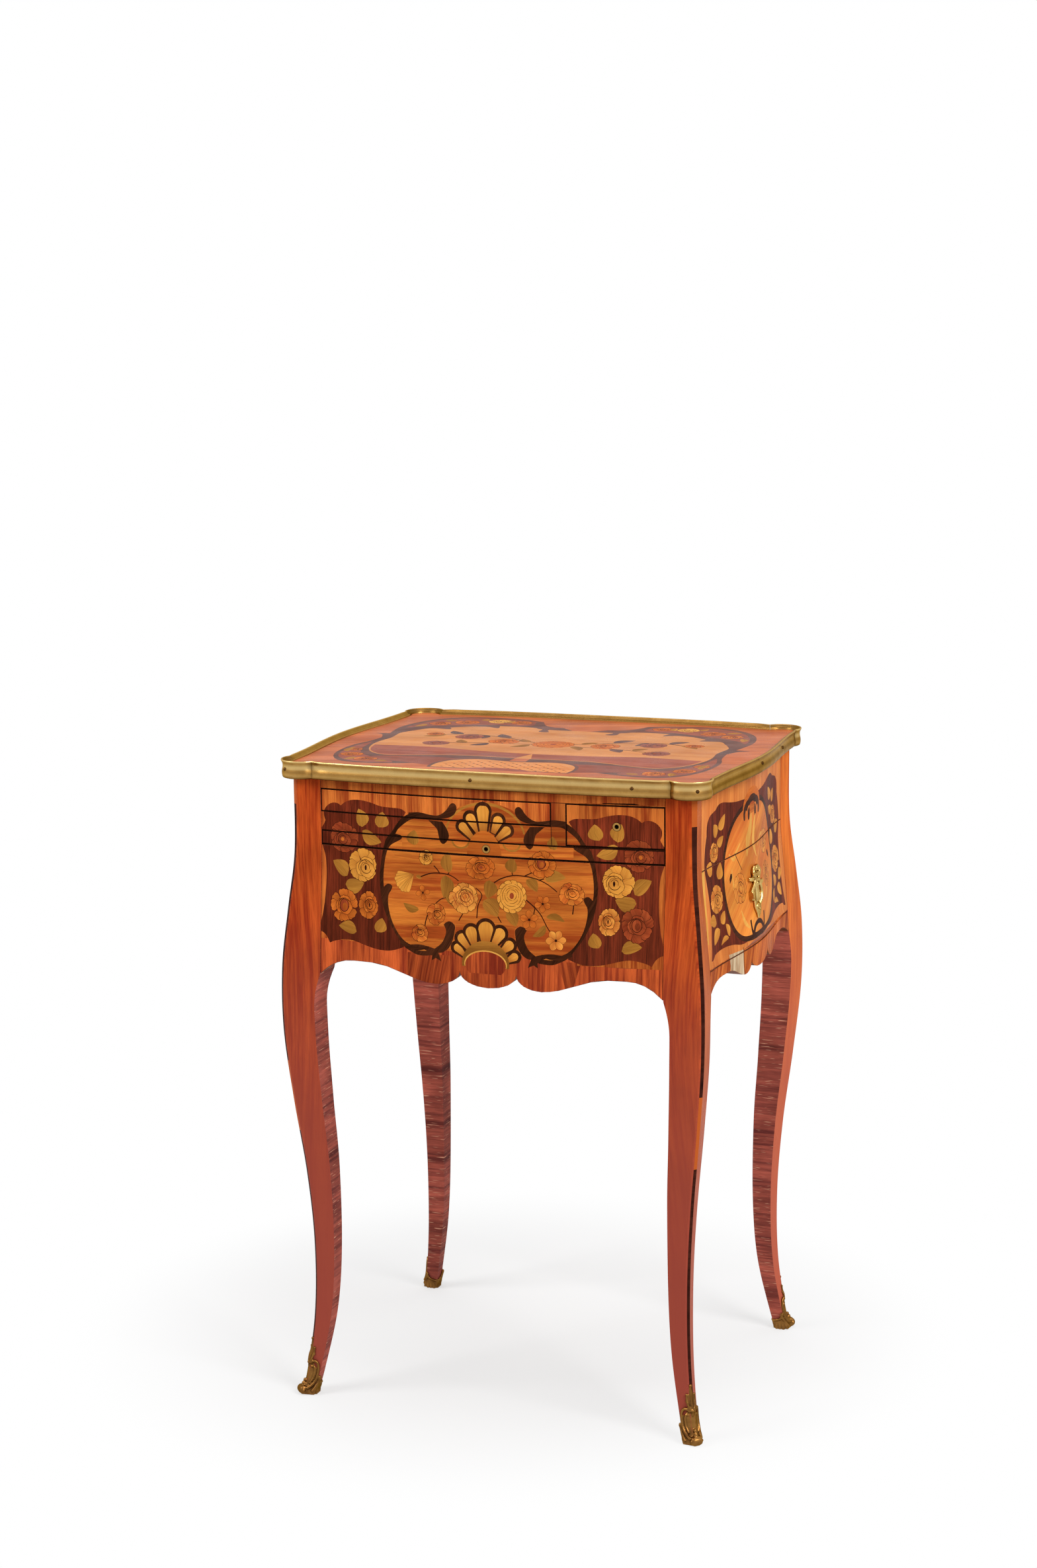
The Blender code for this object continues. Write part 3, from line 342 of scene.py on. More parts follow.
# Light, dark and burnt colour, stripes per metre, contrast, pores, patches, open grain and sheen
WOOD_LOOKS = {
    "tulipwood": ((212, 116, 50), (146, 58, 25), (104, 38, 22), 120.0, 1.6, 0.25, 0.26),
    "flame": ((190, 86, 42), (122, 42, 25), (90, 30, 18), 120.0, 1.8, 0.25, 0.26),
    "top_border": ((196, 110, 62), (156, 74, 40), (104, 38, 22), 130.0, 1.0, 0.2, 0.2, 0.0, 0.014),
    "rosewood": ((160, 82, 56), (128, 58, 40), (80, 32, 24), 130.0, 1.0, 0.2, 0.2, 0.0, 0.014),
    "tulipwood_leg": ((197, 85, 33), (143, 45, 18), (140, 64, 52), 130.0, 1.5, 0.25, 0.24),
    # Lighter, more golden copies of tulipwood for the side faces: painted light
    "side_border": ((222, 136, 66), (184, 94, 42), (104, 38, 22), 120.0, 1.0, 0.15, 0.2),
    "side_leg": ((214, 116, 46), (176, 78, 30), (166, 82, 62), 110.0, 1.3, 0.2, 0.24),
    "amaranth": ((122, 48, 27), (74, 28, 16), (50, 22, 13), 330.0, 1.4, 0.35, 0.3),
    "strip": ((74, 36, 26), (46, 21, 16), (178, 86, 36), 200.0, 1.0, 0.3, 0.2),
    "satine": ((216, 124, 48), (164, 72, 28), (128, 46, 18), 70.0, 1.7, 0.25, 0.26),
    "gold": ((226, 152, 66), (184, 96, 38), (140, 60, 24), 110.0, 1.2, 0.15, 0.2),
    "burl": ((232, 148, 62), (202, 104, 42), (140, 60, 24), 46.0, 1.5, 0.12, 0.3),
    "frame": ((116, 70, 56), (84, 48, 40), (50, 26, 20), 200.0, 1.0, 0.25, 0.2, 0.0, 0.014),
    "field": ((206, 136, 74), (184, 110, 54), (140, 76, 36), 120.0, 1.0, 0.2, 0.16, 0.0, 0.014),
    "wenge": ((78, 40, 22), (46, 23, 12), (24, 10, 5), 220.0, 1.1, 0.3, 0.3),
    "ink": ((58, 26, 14), (36, 15, 8), (20, 8, 4), 200.0, 0.8, 0.2, 0.2),
    "leaf": ((194, 134, 54), (166, 106, 40), (110, 64, 24), 260.0, 0.9, 0.25, 0.2),
    "olive": ((172, 114, 44), (140, 86, 32), (98, 58, 20), 260.0, 0.9, 0.25, 0.2),
    "yellow": ((222, 154, 66), (200, 126, 46), (140, 68, 24), 240.0, 0.8, 0.15, 0.12),
    "pale": ((226, 168, 82), (206, 140, 58), (146, 86, 34), 240.0, 0.8, 0.15, 0.12),
    "orange": ((206, 114, 42), (176, 82, 28), (104, 36, 14), 240.0, 0.9, 0.2, 0.16),
    "red": ((164, 76, 40), (126, 48, 26), (62, 22, 12), 240.0, 0.9, 0.2, 0.16),
    "bare": ((240, 216, 178), (182, 140, 100), (120, 84, 54), 300.0, 1.6, 0.3, 0.35),
    "kingwood": ((180, 92, 76), (106, 50, 46), (60, 26, 24), 110.0, 1.2, 0.3, 0.34, 0.7),
}
WOODS = {name: wood(name, *look) for name, look in WOOD_LOOKS.items()}


def brass_material(name, light, dull, grime_and_shade_colour, smooth, grime_and_shade_share, painted_highlight=(244, 214, 146), grain=900.0):
    """Gilt brass: darker in the hollows, partly grime and partly painted shade, dull in patches, and with
    painted highlights and painted shade where the painted light layer says so.
    """
    shader = Shader(name)
    place_in = shader.place_in()
    patches = shader.noise(place_in, 60.0, 5.0, 0.65)
    specks = shader.noise(place_in, grain, 2.0, 0.6)
    bright = shader.ramp(patches, [(0.3, linear(dull)), (0.7, linear(light))])
    # Darker in the hollows: partly grime, partly painted shade
    hollow = shader.node("NewGeometry").outputs["Pointiness"]
    grime_and_shade = shader.ramp(hollow, [(0.42, grime_and_shade_share), (0.505, 0.0)])
    # Painted light layer: its red share is painted shade, its green share a painted highlight
    layer = shader.node("VertexColor", layer_name="wear").outputs["Color"]
    wear = shader.node("SeparateColor", {"Color": layer})
    colour = shader.mix(wear.outputs["Green"], bright, linear(painted_highlight))
    colour = shader.mix(shader.math("MAXIMUM", grime_and_shade, wear.outputs["Red"]), colour, linear(grime_and_shade_colour))
    spots = shader.ramp(specks, [(0.24, 0.75), (0.36, 1.0)])
    shader.drive("Base Color", shader.mix(1.0, colour, spots, "MULTIPLY"))
    shader.drive("Roughness", shader.span(patches, smooth + 0.08, smooth - 0.06, 0.3, 0.7))
    shader.bump(shader.math("ADD", specks, shader.math("MULTIPLY", patches, 3.0)), 0.00008, 0.5)
    set_surface(shader, Metallic=1.0, Specular_Tint=(0.74, 0.60, 0.42, 1.0))
    return shader.material


def oak_material(name, light, dark, sheen=0.3):
    """Plain oak of the drawer linings, with long pores."""
    shader = Shader(name)
    place_in = shader.place_in()

    def scaled(scale):
        return shader.node("Mapping", {"Vector": place_in, "Scale": scale}).outputs["Vector"]

    grain = shader.noise(scaled((60.0, 5.0, 220.0)), 1.0, 4.0, 0.6, 0.4)
    pores = shader.noise(scaled((900.0, 30.0, 1400.0)), 1.0, 2.0)
    colour = shader.ramp(grain, [(0.3, linear(dark)), (0.7, linear(light))])
    dark = shader.ramp(pores, [(0.34, 0.6), (0.46, 1.0)])
    shader.drive("Base Color", shader.mix(1.0, colour, dark, "MULTIPLY"))
    shader.drive("Roughness", shader.span(grain, 0.48, 0.66))
    shader.bump(pores, 0.0002, 0.5)
    set_surface(shader, Specular_IOR_Level=sheen)
    return shader.material


def steel_material():
    """Dull iron of the lock cases."""
    shader = Shader("lock_steel")
    place_in = shader.place_in()
    stain = shader.noise(place_in, 120.0, 5.0, 0.65)
    colour = shader.ramp(stain, [(0.3, linear((86, 78, 70))), (0.7, linear((150, 146, 140)))])
    shader.drive("Base Color", colour)
    shader.drive("Roughness", shader.span(stain, 0.3, 0.6))
    shader.bump(stain, 0.0001, 0.4)
    set_surface(shader, Metallic=1.0)
    return shader.material


def leather_material(name, dark, light):
    """Old hide with a fine grain."""
    shader = Shader(name)
    place_in = shader.place_in()
    cells = shader.node("TexVoronoi", {"Vector": place_in, "Scale": 900.0}).outputs["Distance"]
    stain = shader.noise(place_in, 18.0, 5.0, 0.6)
    shader.drive("Base Color", shader.ramp(stain, [(0.3, linear(dark)), (0.7, linear(light))]))
    shader.drive("Roughness", shader.span(stain, 0.38, 0.6))
    shader.bump(cells, 0.0002, 0.6)
    return shader.material


BRASS = brass_material("gilt_brass", (182, 140, 76), (150, 110, 54), (78, 50, 20), 0.30, 0.6)
BRONZE = brass_material("sabot_brass", (150, 106, 54), (96, 62, 30), (36, 20, 9), 0.3, 0.95)
PIN = brass_material("pin_brass", (92, 62, 32), (52, 34, 18), (24, 14, 7), 0.34, 0.9)
POLISHED = brass_material("polished_brass", (232, 200, 128), (160, 120, 60), (30, 17, 7), 0.16, 1.0)
OAK = oak_material("oak", (180, 136, 86), (120, 84, 48))
# Near-black face under the edge of a veneer: painted shade in the gaps
GAP_SHADE = oak_material("painted_gap_shade", (34, 17, 11), (18, 9, 6), 0.0)
EDGE = oak_material("old_edge", (122, 66, 38), (82, 40, 24), 0.1)
SIDE_EDGE = oak_material("side_edge", (178, 116, 92), (122, 68, 50), 0.0)
STEEL = steel_material()
LEATHER = leather_material("leather", (52, 22, 13), (96, 42, 24))
GILDING = leather_material("gilding", (150, 108, 44), (196, 150, 70))


# Meshes
def new_piece(name, points, faces, materials, body, smooth_angle=35.0):
    """A mesh piece of the table that rides on a body."""
    mesh = bpy.data.meshes.new(name)
    mesh.from_pydata([tuple(p) for p in points], [], faces)
    for material in materials:
        mesh.materials.append(material)
    mesh.shade_smooth()
    mesh.set_sharp_from_angle(angle=math.radians(smooth_angle))
    piece = bpy.data.objects.new(name, mesh)
    bpy.context.collection.objects.link(piece)
    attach(piece, body)
    return piece


def ring_faces(rings, sides):
    """Faces of a skin over closed rings of points, with its two ends."""
    faces = []
    for i in range(rings - 1):
        for k in range(sides):
            n = (k + 1) % sides
            faces.append((i * sides + k, i * sides + n, (i + 1) * sides + n, (i + 1) * sides + k))
    return faces, [tuple(range(sides))[::-1], tuple(range((rings - 1) * sides, rings * sides))]


# Marquetry
CONTOUR = 0.42               # width of the dark line round a petal, in millimetres
RESERVE_LINE = 0.45          # and round a dark reserve of the front
HOOD = 1.3                   # how far the dark hood of a shell lobe stands out beyond its drop


def polar(a, rx, ry):
    """Where an angle points on an ellipse about 0."""
    return Vector((math.cos(a) * rx, math.sin(a) * ry))


class Picture:
    """Pieces of veneer in the order they are laid: each later one covers what is under it."""

    def __init__(self, ground, grain, seed):
        self.ground = ground
        self.grain = grain
        self.draw = random.Random(seed)
        self.pieces = []

    def lay(self, points, wood_name, grain=0.0, tone=1.0, fade=None):
        """One piece: its outline, its wood, the direction of its grain in degrees, and its sand shading,
        which runs between two (place, burn) marks."""
        area = sum(a[0] * b[1] - a[1] * b[0] for a, b in zip(points, points[1:] + points[:1]))
        points = points if area > 0 else points[::-1]
        tone *= self.draw.uniform(0.95, 1.05)
        self.pieces.append((points, wood_name, math.radians(grain), tone, fade, self.draw.random()))

    def leaf(self, base, tip, width, wood_name="leaf", bend=0.12):
        """A broad pointed leaf from its stalk to its tip, darker along one edge, with a faint vein."""
        base, tip = Vector(base), Vector(tip)
        along = tip - base
        across = Vector((-along.y, along.x)).normalized()

        def spine(t):
            return base + along * t + across * bend * along.length * math.sin(math.pi * t)

        edges = ([], [])
        for k in range(11):
            t = k / 10
            half = width / 2 * math.sin(math.pi * t ** 0.8) ** 0.8 if 0 < k < 10 else 0.0
            edges[0].append(spine(t) + across * half)
            edges[1].append(spine(t) - across * half)
        turn = math.degrees(math.atan2(along.y, along.x))
        shade = ((edges[0][5], 0.45), (edges[1][5], 0.0))
        self.lay(edges[0] + edges[1][-2:0:-1], wood_name, turn, self.draw.uniform(0.9, 1.06), shade)
        vein = [spine(t) for t in (0.06, 0.35, 0.62, 0.84)]
        self.lay(ribbon(vein, (0.5, 0.25), 3), wood_name, turn, 0.66)

    def leaves(self, rows, wood_name, bend, side=1):
        """Leaves from rows of base, tip and width, at one side of the middle."""
        for base, tip, width in rows:
            self.leaf((base[0] * side, base[1]), (tip[0] * side, tip[1]), width, wood_name, bend)

    def line(self, knots, width=0.42, steps=4):
        """A thin engraved line, finer at both ends."""
        self.lay(ribbon(knots, (width * 0.5, width, width * 0.6), steps), "ink")

    def lobe(self, centre, radius, turn, wood_name, fade, tone):
        """A round petal with a fine dark edge; turn points to its outer end."""
        centre = Vector(centre)

        def edge(grow):
            points = []
            for k in range(14):
                a = 2 * math.pi * k / 14
                reach = 1.0 - 0.06 * math.cos(5 * (a - turn)) - 0.04 * math.cos(a - turn)
                points.append(centre + polar(a, radius[0] * reach + grow, radius[1] * reach + grow))
            return points

        self.lay(edge(CONTOUR), "ink")
        self.lay(edge(0.0), wood_name, math.degrees(turn) + 20, tone, fade)

    def petal(self, middle, size, turn, half, reach, wood_name, burn, tone):
        """An outer petal: a fan with a scalloped edge and a fine dark line round it."""
        def edge(grow):
            points = []
            for k in range(11):
                t = k / 5 - 1
                a = turn + (half + grow / size[0]) * t
                far = reach * (0.93 + 0.07 * abs(math.cos(1.5 * math.pi * t)) - 0.12 * t ** 4)
                points.append(middle + polar(a, size[0] * far + grow, size[1] * far + grow))
            for t in (0.6, -0.6):
                points.append(middle + polar(turn + half * t, *size) * 0.25)
            return points

        out = polar(turn, *size)
        fade = ((middle + out * 0.4, burn), (middle + out * 0.85, 0.0))
        self.lay(edge(CONTOUR), "ink")
        self.lay(edge(0.0), wood_name, math.degrees(turn) + 25, tone, fade)

    def rose(self, centre, size, wood_name, petals=7, bud=(0.10, -0.12, 0.50), heart="slit",
            turn=0.0, burn=0.6):
        """A full flower: a ring of scalloped petals, a ball of closed ones off the middle, and its heart.
        bud holds the shift and the size of the ball as shares of the flower."""
        middle = Vector(centre)
        for k in range(petals):
            a = turn + 2 * math.pi * (k + self.draw.uniform(-0.2, 0.2)) / petals
            half = math.pi / petals * self.draw.uniform(1.1, 1.35)
            self.petal(middle, size, a, half, self.draw.uniform(0.9, 1.06), wood_name, burn,
                self.draw.uniform(0.88, 1.08))
        ball = middle + Vector((bud[0] * size[0], bud[1] * size[1]))
        wide = (size[0] * bud[2], size[1] * bud[2])
        for k in range(3):
            a = turn + 1.2 + 2.1 * k
            aside = polar(a, *wide)
            fade = ((ball - aside * 0.5, burn), (ball + aside * 0.8, 0.0))
            self.lobe(ball + aside * 0.34, (wide[0] * 0.86, wide[1] * 0.86), a, wood_name, fade,
                self.draw.uniform(0.92, 1.06))
        self.swirl(ball, wide, turn, wood_name, heart, burn)

    def swirl(self, ball, wide, turn, wood_name, heart, burn):
        """The closed petals of a flower: curved lines round a slit, a cup or a small round heart."""
        def arc(share, start, end, shift=(0.0, 0.0)):
            steps = [math.radians(start + (end - start) * k / 5) + turn for k in range(6)]
            return [(ball.x + (math.cos(a) * share + shift[0]) * wide[0],
                    ball.y + (math.sin(a) * share + shift[1]) * wide[1]) for a in steps]

        self.line(arc(0.84, 20, 200), 0.8, 3)
        self.line(arc(0.62, 160, 340, (0.06, 0.0)), 0.75, 3)
        self.line(arc(0.42, -30, 150, (0.04, 0.02)), 0.65, 3)
        if heart == "slit":
            self.lay(ellipse(ball.x, ball.y, wide[0] * 0.13, wide[1] * 0.30, count=8), "ink")
        elif heart == "cup":
            self.lay(ellipse(ball.x, ball.y, wide[0] * 0.66, wide[1] * 0.78, count=14), "ink")
            self.lay(ellipse(ball.x, ball.y, wide[0] * 0.58, wide[1] * 0.70, count=14), "red", 90.0, 0.95)
            fade = ((ball, burn), (ball + Vector((wide[0], 0.0)), 0.0))
            inner = (ball.x + wide[0] * 0.1, ball.y - wide[1] * 0.12, wide[0] * 0.34, wide[1] * 0.44)
            self.lay(ellipse(*inner, count=12), wood_name, 60.0, 1.0, fade)
        else:
            self.lay(ellipse(ball.x, ball.y, wide[0] * 0.22, wide[1] * 0.24, count=10), heart, 60.0, 0.9)

    def ranunculus(self, centre, size, wood_name, rings=4):
        """A round flower of many thin petals, drawn as broken rings of lines."""
        middle = Vector(centre)
        for k in range(13):
            a = 2 * math.pi * k / 13
            out = polar(a, *size)
            fade = ((middle + out * 0.3, 0.4), (middle + out * 0.8, 0.0))
            self.lobe(middle + out * 0.74, (size[0] * 0.26, size[1] * 0.26), a, wood_name, fade,
                self.draw.uniform(0.94, 1.05))
        self.lay(ellipse(*centre, size[0] * 0.78, size[1] * 0.78), wood_name, 0.0, 0.98)
        for ring in range(rings):
            share = 0.76 - 0.15 * ring
            for k in range(4):
                start = 90 * k + 37 * ring
                high = centre[1] + size[1] * 0.03 * ring
                arc = ellipse(centre[0], high, size[0] * share, size[1] * share, start, start + 78, 5)
                self.line(arc, 0.5, 2)
        self.lay(ellipse(centre[0], centre[1] + 0.8, size[0] * 0.15, size[1] * 0.19, count=10), "red", 90.0)

    def drop(self, base, out, turn, near, wide, grow, wood_name, tones, fade):
        """A separate petal from a base to out, with its half widths at shares of the way."""
        shape = [base + out * near]
        shape += [base + out * t - half for t, half in wide]
        shape.append(base + out)
        shape += [base + out * t + half for t, half in reversed(wide)]
        rim = [p + (p - base - out * 0.6).normalized() * grow for p in shape]
        self.lay(spline(rim, True, 2), "ink")
        self.lay(spline(shape, True, 2), wood_name, math.degrees(turn), self.draw.uniform(*tones), fade)

    def blossom(self, centre, size, wood_name, count=5, turn=0.3):
        """A small open flower of separate petals."""
        middle = Vector(centre)
        for k in range(count):
            a = turn + 2 * math.pi * k / count
            out = Vector((math.cos(a), math.sin(a))) * size
            side = Vector((-out.y, out.x)) * 0.34
            fade = ((middle, 0.7), (middle + out * 0.6, 0.0))
            self.drop(middle, out, a, 0.06, ((0.55, side), (0.86, side * 0.7)), 0.26,
                wood_name, (0.94, 1.05), fade)
        self.lay(ellipse(*centre, size * 0.14, size * 0.14, count=8), "ink")

    def fan(self, base, turn, reach, wood_name, petals=7, spread=80.0):
        """A flower seen from the side, its petals fanned out from a base."""
        base = Vector(base)
        for k in range(petals):
            a = math.radians(turn + spread * (k / (petals - 1) - 0.5))
            full = 0.84 + 0.16 * math.sin(math.pi * k / (petals - 1))
            length = reach * full * self.draw.uniform(0.94, 1.05)
            out = Vector((math.cos(a), math.sin(a))) * length
            side = Vector((-out.y, out.x)) * math.radians(spread) / petals * 0.8
            fade = ((base, 0.6), (base + out * 0.5, 0.0))
            self.drop(base, out, a, 0.0, ((0.6, side * 0.8), (0.94, side * 0.8)), 0.24,
                wood_name, (0.92, 1.05), fade)

    def twig(self, knots, width=1.25):
        """A thin dark stem."""
        self.lay(ribbon(knots, (width, width * 0.75)), "ink")

    def shell_petal(self, base, tip, width, rim=2.4):
        """A lobe of a shell: a light drop with a dark hood, burnt towards its base."""
        base, tip = Vector(base), Vector(tip)
        along = (tip - base).normalized()
        across = Vector((-along.y, along.x))

        def drop(end, half, start):
            points = []
            for k in range(-6, 7):
                a = math.pi / 2 * k / 6
                points.append(end - along * half + along * half * math.cos(a) + across * half * math.sin(a))
            neck = max(half * 0.5, 0.6)
            return [start - across * neck] + points + [start + across * neck]

        turn = math.degrees(math.atan2(along.y, along.x))
        self.lay(drop(tip + along * HOOD, width / 2 + HOOD, base - along), "wenge", turn)
        middle = base + (tip - base) * 0.6
        self.lay(drop(tip - along * rim, width / 2 - rim * 0.75, base), "yellow", turn, 0.97,
            ((base, 0.85), (middle, 0.0)))


def grain_layers(mesh):
    """New layers of a mesh for the grain direction and the tone of its veneers."""
    mesh.uv_layers.new(name="grain")
    mesh.color_attributes.new("tone", "FLOAT_COLOR", "CORNER")
    return mesh.uv_layers["grain"], mesh.color_attributes["tone"]


# A drawer's veneer stops short so that a band of the near-black face beneath shows: painted shade of the
# gap
DRAWER_GAP = 1.05            # the veneer of a drawer stops this far short of the edge of its front
# The rounded edge of a veneer is drawn lighter: a painted highlight, partly wear
EDGE_WEAR = 0.40             # its edge is rounded over this width
EDGE_SINK = 0.0003           # and falls back by this much
EDGE_STEP = 7.0              # longest step along an edge
GROUND_OWN = 0.37            # number of its own for the ground of a picture


def inset(points, by):
    """A closed outline, counter-clockwise, drawn in by a distance."""
    drawn = []
    for i, p in enumerate(points):
        before = (p - points[i - 1]).normalized()
        after = (points[(i + 1) % len(points)] - p).normalized()
        way = Vector((-before.y - after.y, before.x + after.x))
        length = way.length
        drawn.append(p + way / length * min(2 * by / length, 2.5 * by) if length > 1e-6 else p)
    return drawn


def divided(points, step):
    """A closed outline with more points along its long edges."""
    line = []
    for i, p in enumerate(points):
        way = points[(i + 1) % len(points)] - p
        count = max(int(way.length / step), 1)
        line += [p + way * k / count for k in range(count)]
    return line


def within(point):
    """A point drawn back into the box of the solids."""
    return tuple(min(max(c, low), high) for c, low, high in zip(point, *CAD_BOX))


def skin(name, body, region, picture, to_world, holes=(), step=7.0, edge_highlight_and_wear=1.1, gap=0.2, level=1.0):
    """A closed sheet of veneer over a region of a picture, cut along every piece that is laid there."""
    region = inset(divided(region, EDGE_STEP), gap)
    field = inset(region, EDGE_WEAR)
    low = [min(p[i] for p in region) for i in range(2)]
    high = [max(p[i] for p in region) for i in range(2)]
    ground = (picture.ground, math.radians(picture.grain))
    # The outer ring of the ground, along the rounded edge, is lighter: painted highlight, partly wear
    laid = [(region, *ground, edge_highlight_and_wear, None, GROUND_OWN), (field, *ground, 1.0, None, GROUND_OWN)]
    for piece in picture.pieces:
        spans = [[p[i] for p in piece[0]] for i in range(2)]
        if all(max(spans[i]) > low[i] and min(spans[i]) < high[i] for i in range(2)):
            laid.append(piece)
    laid += [(hole, None, 0.0, 1.0, None, 0.0) for hole in holes]
    flat, loops = [], []
    for piece in laid:
        loops.append(list(range(len(flat), len(flat) + len(piece[0]))))
        flat += [Vector((p[0], p[1])) for p in piece[0]]
    columns = max(int((high[0] - low[0]) / step), 1)
    rows = max(int((high[1] - low[1]) / step), 1)
    for i in range(1, columns):
        for j in range(1, rows):
            x = low[0] + (high[0] - low[0]) * i / columns
            y = low[1] + (high[1] - low[1]) * j / rows
            flat.append(Vector((x, y)))
    points, _, triangles, _, _, owners = geometry.delaunay_2d_cdt(flat, [], loops, 0, 1e-4)
    kept, tops = [], []
    for triangle, owner in zip(triangles, owners):
        if 0 in owner and laid[max(owner)][1]:
            kept.append(tuple(triangle))
            tops.append(laid[max(owner)])
    used = sorted({i for triangle in kept for i in triangle})
    index = {i: k for k, i in enumerate(used)}
    front = [tuple(index[i] for i in t) for t in kept]
    edges = {(t[k], t[(k + 1) % 3]) for t in front for k in range(3)}
    rims = [(a, b) for a, b in edges if (b, a) not in edges]
    worn = {i for edge in rims for i in edge}
    shift = len(used)
    lifts = [VENEER_OUT - EDGE_SINK if k in worn else VENEER_OUT for k in range(shift)]
    places = [(points[i][0] * MM, points[i][1] * MM) for i in used]
    outer = [within(to_world(*place_at, lift)) for place_at, lift in zip(places, lifts)]
    inner = [to_world(*place_at, -VENEER_BACK) for place_at in places]
    walls = [(b, a, a + shift, b + shift) for a, b in rims]
    faces = front + [tuple(i + shift for i in reversed(t)) for t in front] + walls
    names = sorted({piece[1] for piece in tops} | {"ink"})
    piece = new_piece(name, outer + inner, faces, [WOODS[n] for n in names], body)
    mesh = piece.data
    grain, tone = grain_layers(mesh)
    # The walls of a veneer are dark ink: painted shade at its edges and in the gaps
    painted_wall_shade = (region, "ink", 0.0, 0.6, None, 0.0)
    for number, polygon in enumerate(mesh.polygons):
        top = tops[number % len(front)] if number < 2 * len(front) else painted_wall_shade
        polygon.material_index = names.index(top[1])
        _, _, angle, brightness, fade, own = top
        c, s = math.cos(angle), math.sin(angle)
        for corner in polygon.loop_indices:
            vertex = mesh.loops[corner].vertex_index % shift
            p = points[used[vertex]]
            grain.data[corner].uv = ((p[0] * c + p[1] * s) * MM, (p[1] * c - p[0] * s) * MM + own)
            burn = 0.0
            if fade:
                (start, burn_start), (end, burn_end) = fade
                way = Vector(end) - Vector(start)
                share = (p - Vector(start)).dot(way) / max(way.length_squared, 1e-9)
                burn = burn_start + (burn_end - burn_start) * min(max(share, 0.0), 1.0)
            tone.data[corner].color = (brightness * level, burn, own, 1.0)


def on_side(side, proud=0.0):
    """Lays a flat picture on one side of the case; proud lifts its outer face a little more."""
    return lambda u, z, lift: place(side, u, face(side, u, z) + (lift + proud if lift > 0 else lift), z)


# Front picture, in millimetres
def both(picture, points, *rest):
    """Lay a piece and its mirror image."""
    picture.lay(points, *rest)
    picture.lay(mirror(points), *rest)


RESERVE = outline([(89, 652), (95, 655.2), (106, 655.8), (118, 656.4),
        (129, 659.4), (141, 661.3), (152, 660.8), (160, 657.8), (165, 654)],
    [(165, 654), (169, 656.2), (175, 656.2), (181, 653), (185, 647.5), (185.4, 642), (183.6, 637)],
    [(183.6, 637), (186.6, 631.5), (191, 626)], [(191, 626), (191, 610.5)], [(188, 610.5), (184.4, 599),
        (183, 586), (183, 574), (183.5, 562), (184.6, 550), (186.6, 538), (189, 528), (191, 520)],
    [(191, 520), (185.5, 518), (181, 514), (177.5, 507.8)], [(177.5, 507.8), (172, 510.2), (163, 512.4),
        (154, 513.1), (145, 511.6), (134, 508.6), (122, 506), (110, 505.4), (100, 507.2), (90, 511)],
    [(90, 511), (103, 534), (115, 560), (117, 600), (106, 628)])
BAND = outline([(56, 650.3), (68, 651.8), (80, 652.6), (92, 647), (100, 639), (106, 630),
        (112, 623), (115, 615), (117.4, 604), (119.4, 591), (119.8, 580), (118, 564), (115, 552),
        (111, 542), (105, 531), (98, 521), (90, 511.6), (82, 507), (74, 504), (65, 504), (58, 505)],
    [(58, 505), (58.4, 499.6)], [(58.4, 499.6), (53.8, 502.4)], [(53.8, 502.4), (47.6, 499.4)],
    [(47.6, 499.4), (51, 508)], [(51, 508), (46, 509), (39.5, 514), (35.3, 522), (33.2, 532), (33.4, 538),
        (38.5, 541.5), (43, 540.2), (45.6, 537.6)], [(60, 560), (60, 640)])
CARTOUCHE = outline([(0, 668), (-8, 667.5), (-20, 664.6), (-29, 661), (-32.4, 658)], [(-32.4, 658),
        (-35.6, 652.6), (-42, 649.4), (-52, 647.4), (-64, 646.6), (-75, 646.2), (-83, 645), (-91, 640),
        (-98, 634), (-101.5, 628.6)], [(-101.5, 628.6), (-95, 627.2), (-94.4, 624), (-99.6, 620.6)],
    [(-99.6, 620.6), (-104.5, 618), (-108.5, 614.6), (-111.6, 609), (-114, 599.5), (-115.3, 588),
        (-115.4, 578), (-114.8, 572)], [(-114.8, 572), (-110, 575.6), (-105.2, 573.4), (-106.6, 568.4)],
    [(-106.6, 568.4), (-109.2, 564), (-109.6, 557), (-108.4, 549), (-105.6, 539.5), (-101, 530.3),
        (-95, 522.2), (-89, 517), (-83.3, 514.2)], [(-83.3, 514.2), (-72.3, 515), (-62.5, 513.7),
        (-55.5, 512)], [(-55.5, 512), (-48, 518), (-44, 525.5), (-43, 532), (-45.8, 538)], [(-45.8, 538),
        (-42.6, 541), (-38, 541.8), (-33, 538.4), (-32.8, 532), (-35, 522), (-39, 514), (-42, 511)],
    [(-42, 511), (0, 509)])
CARTOUCHE = CARTOUCHE + mirror(CARTOUCHE)[1:-1]
HORN = outline([(86, 652), (74, 653), (62, 651.2), (54, 650.8), (47.6, 653.6), (42.8, 658), (39.5, 662.8),
        (36.4, 664.9), (33, 663.6), (31.8, 659.8), (33, 655.6), (36, 652), (41, 649.4), (49, 647.6),
        (62, 646.6), (76, 646.2), (88, 648)])
VOLUTE = outline([(64, 645.5), (58, 640.4), (54, 636.4), (52.4, 630), (50.8, 624), (47.6, 621.4),
        (44, 623.4), (41, 628.6), (41.4, 633.6), (44, 639), (48.6, 645.6)])


def strip_mm(left, right, low, high):
    """A rectangle of a picture."""
    return [Vector(p) for p in ((left, low), (right, low), (right, high), (left, high))]


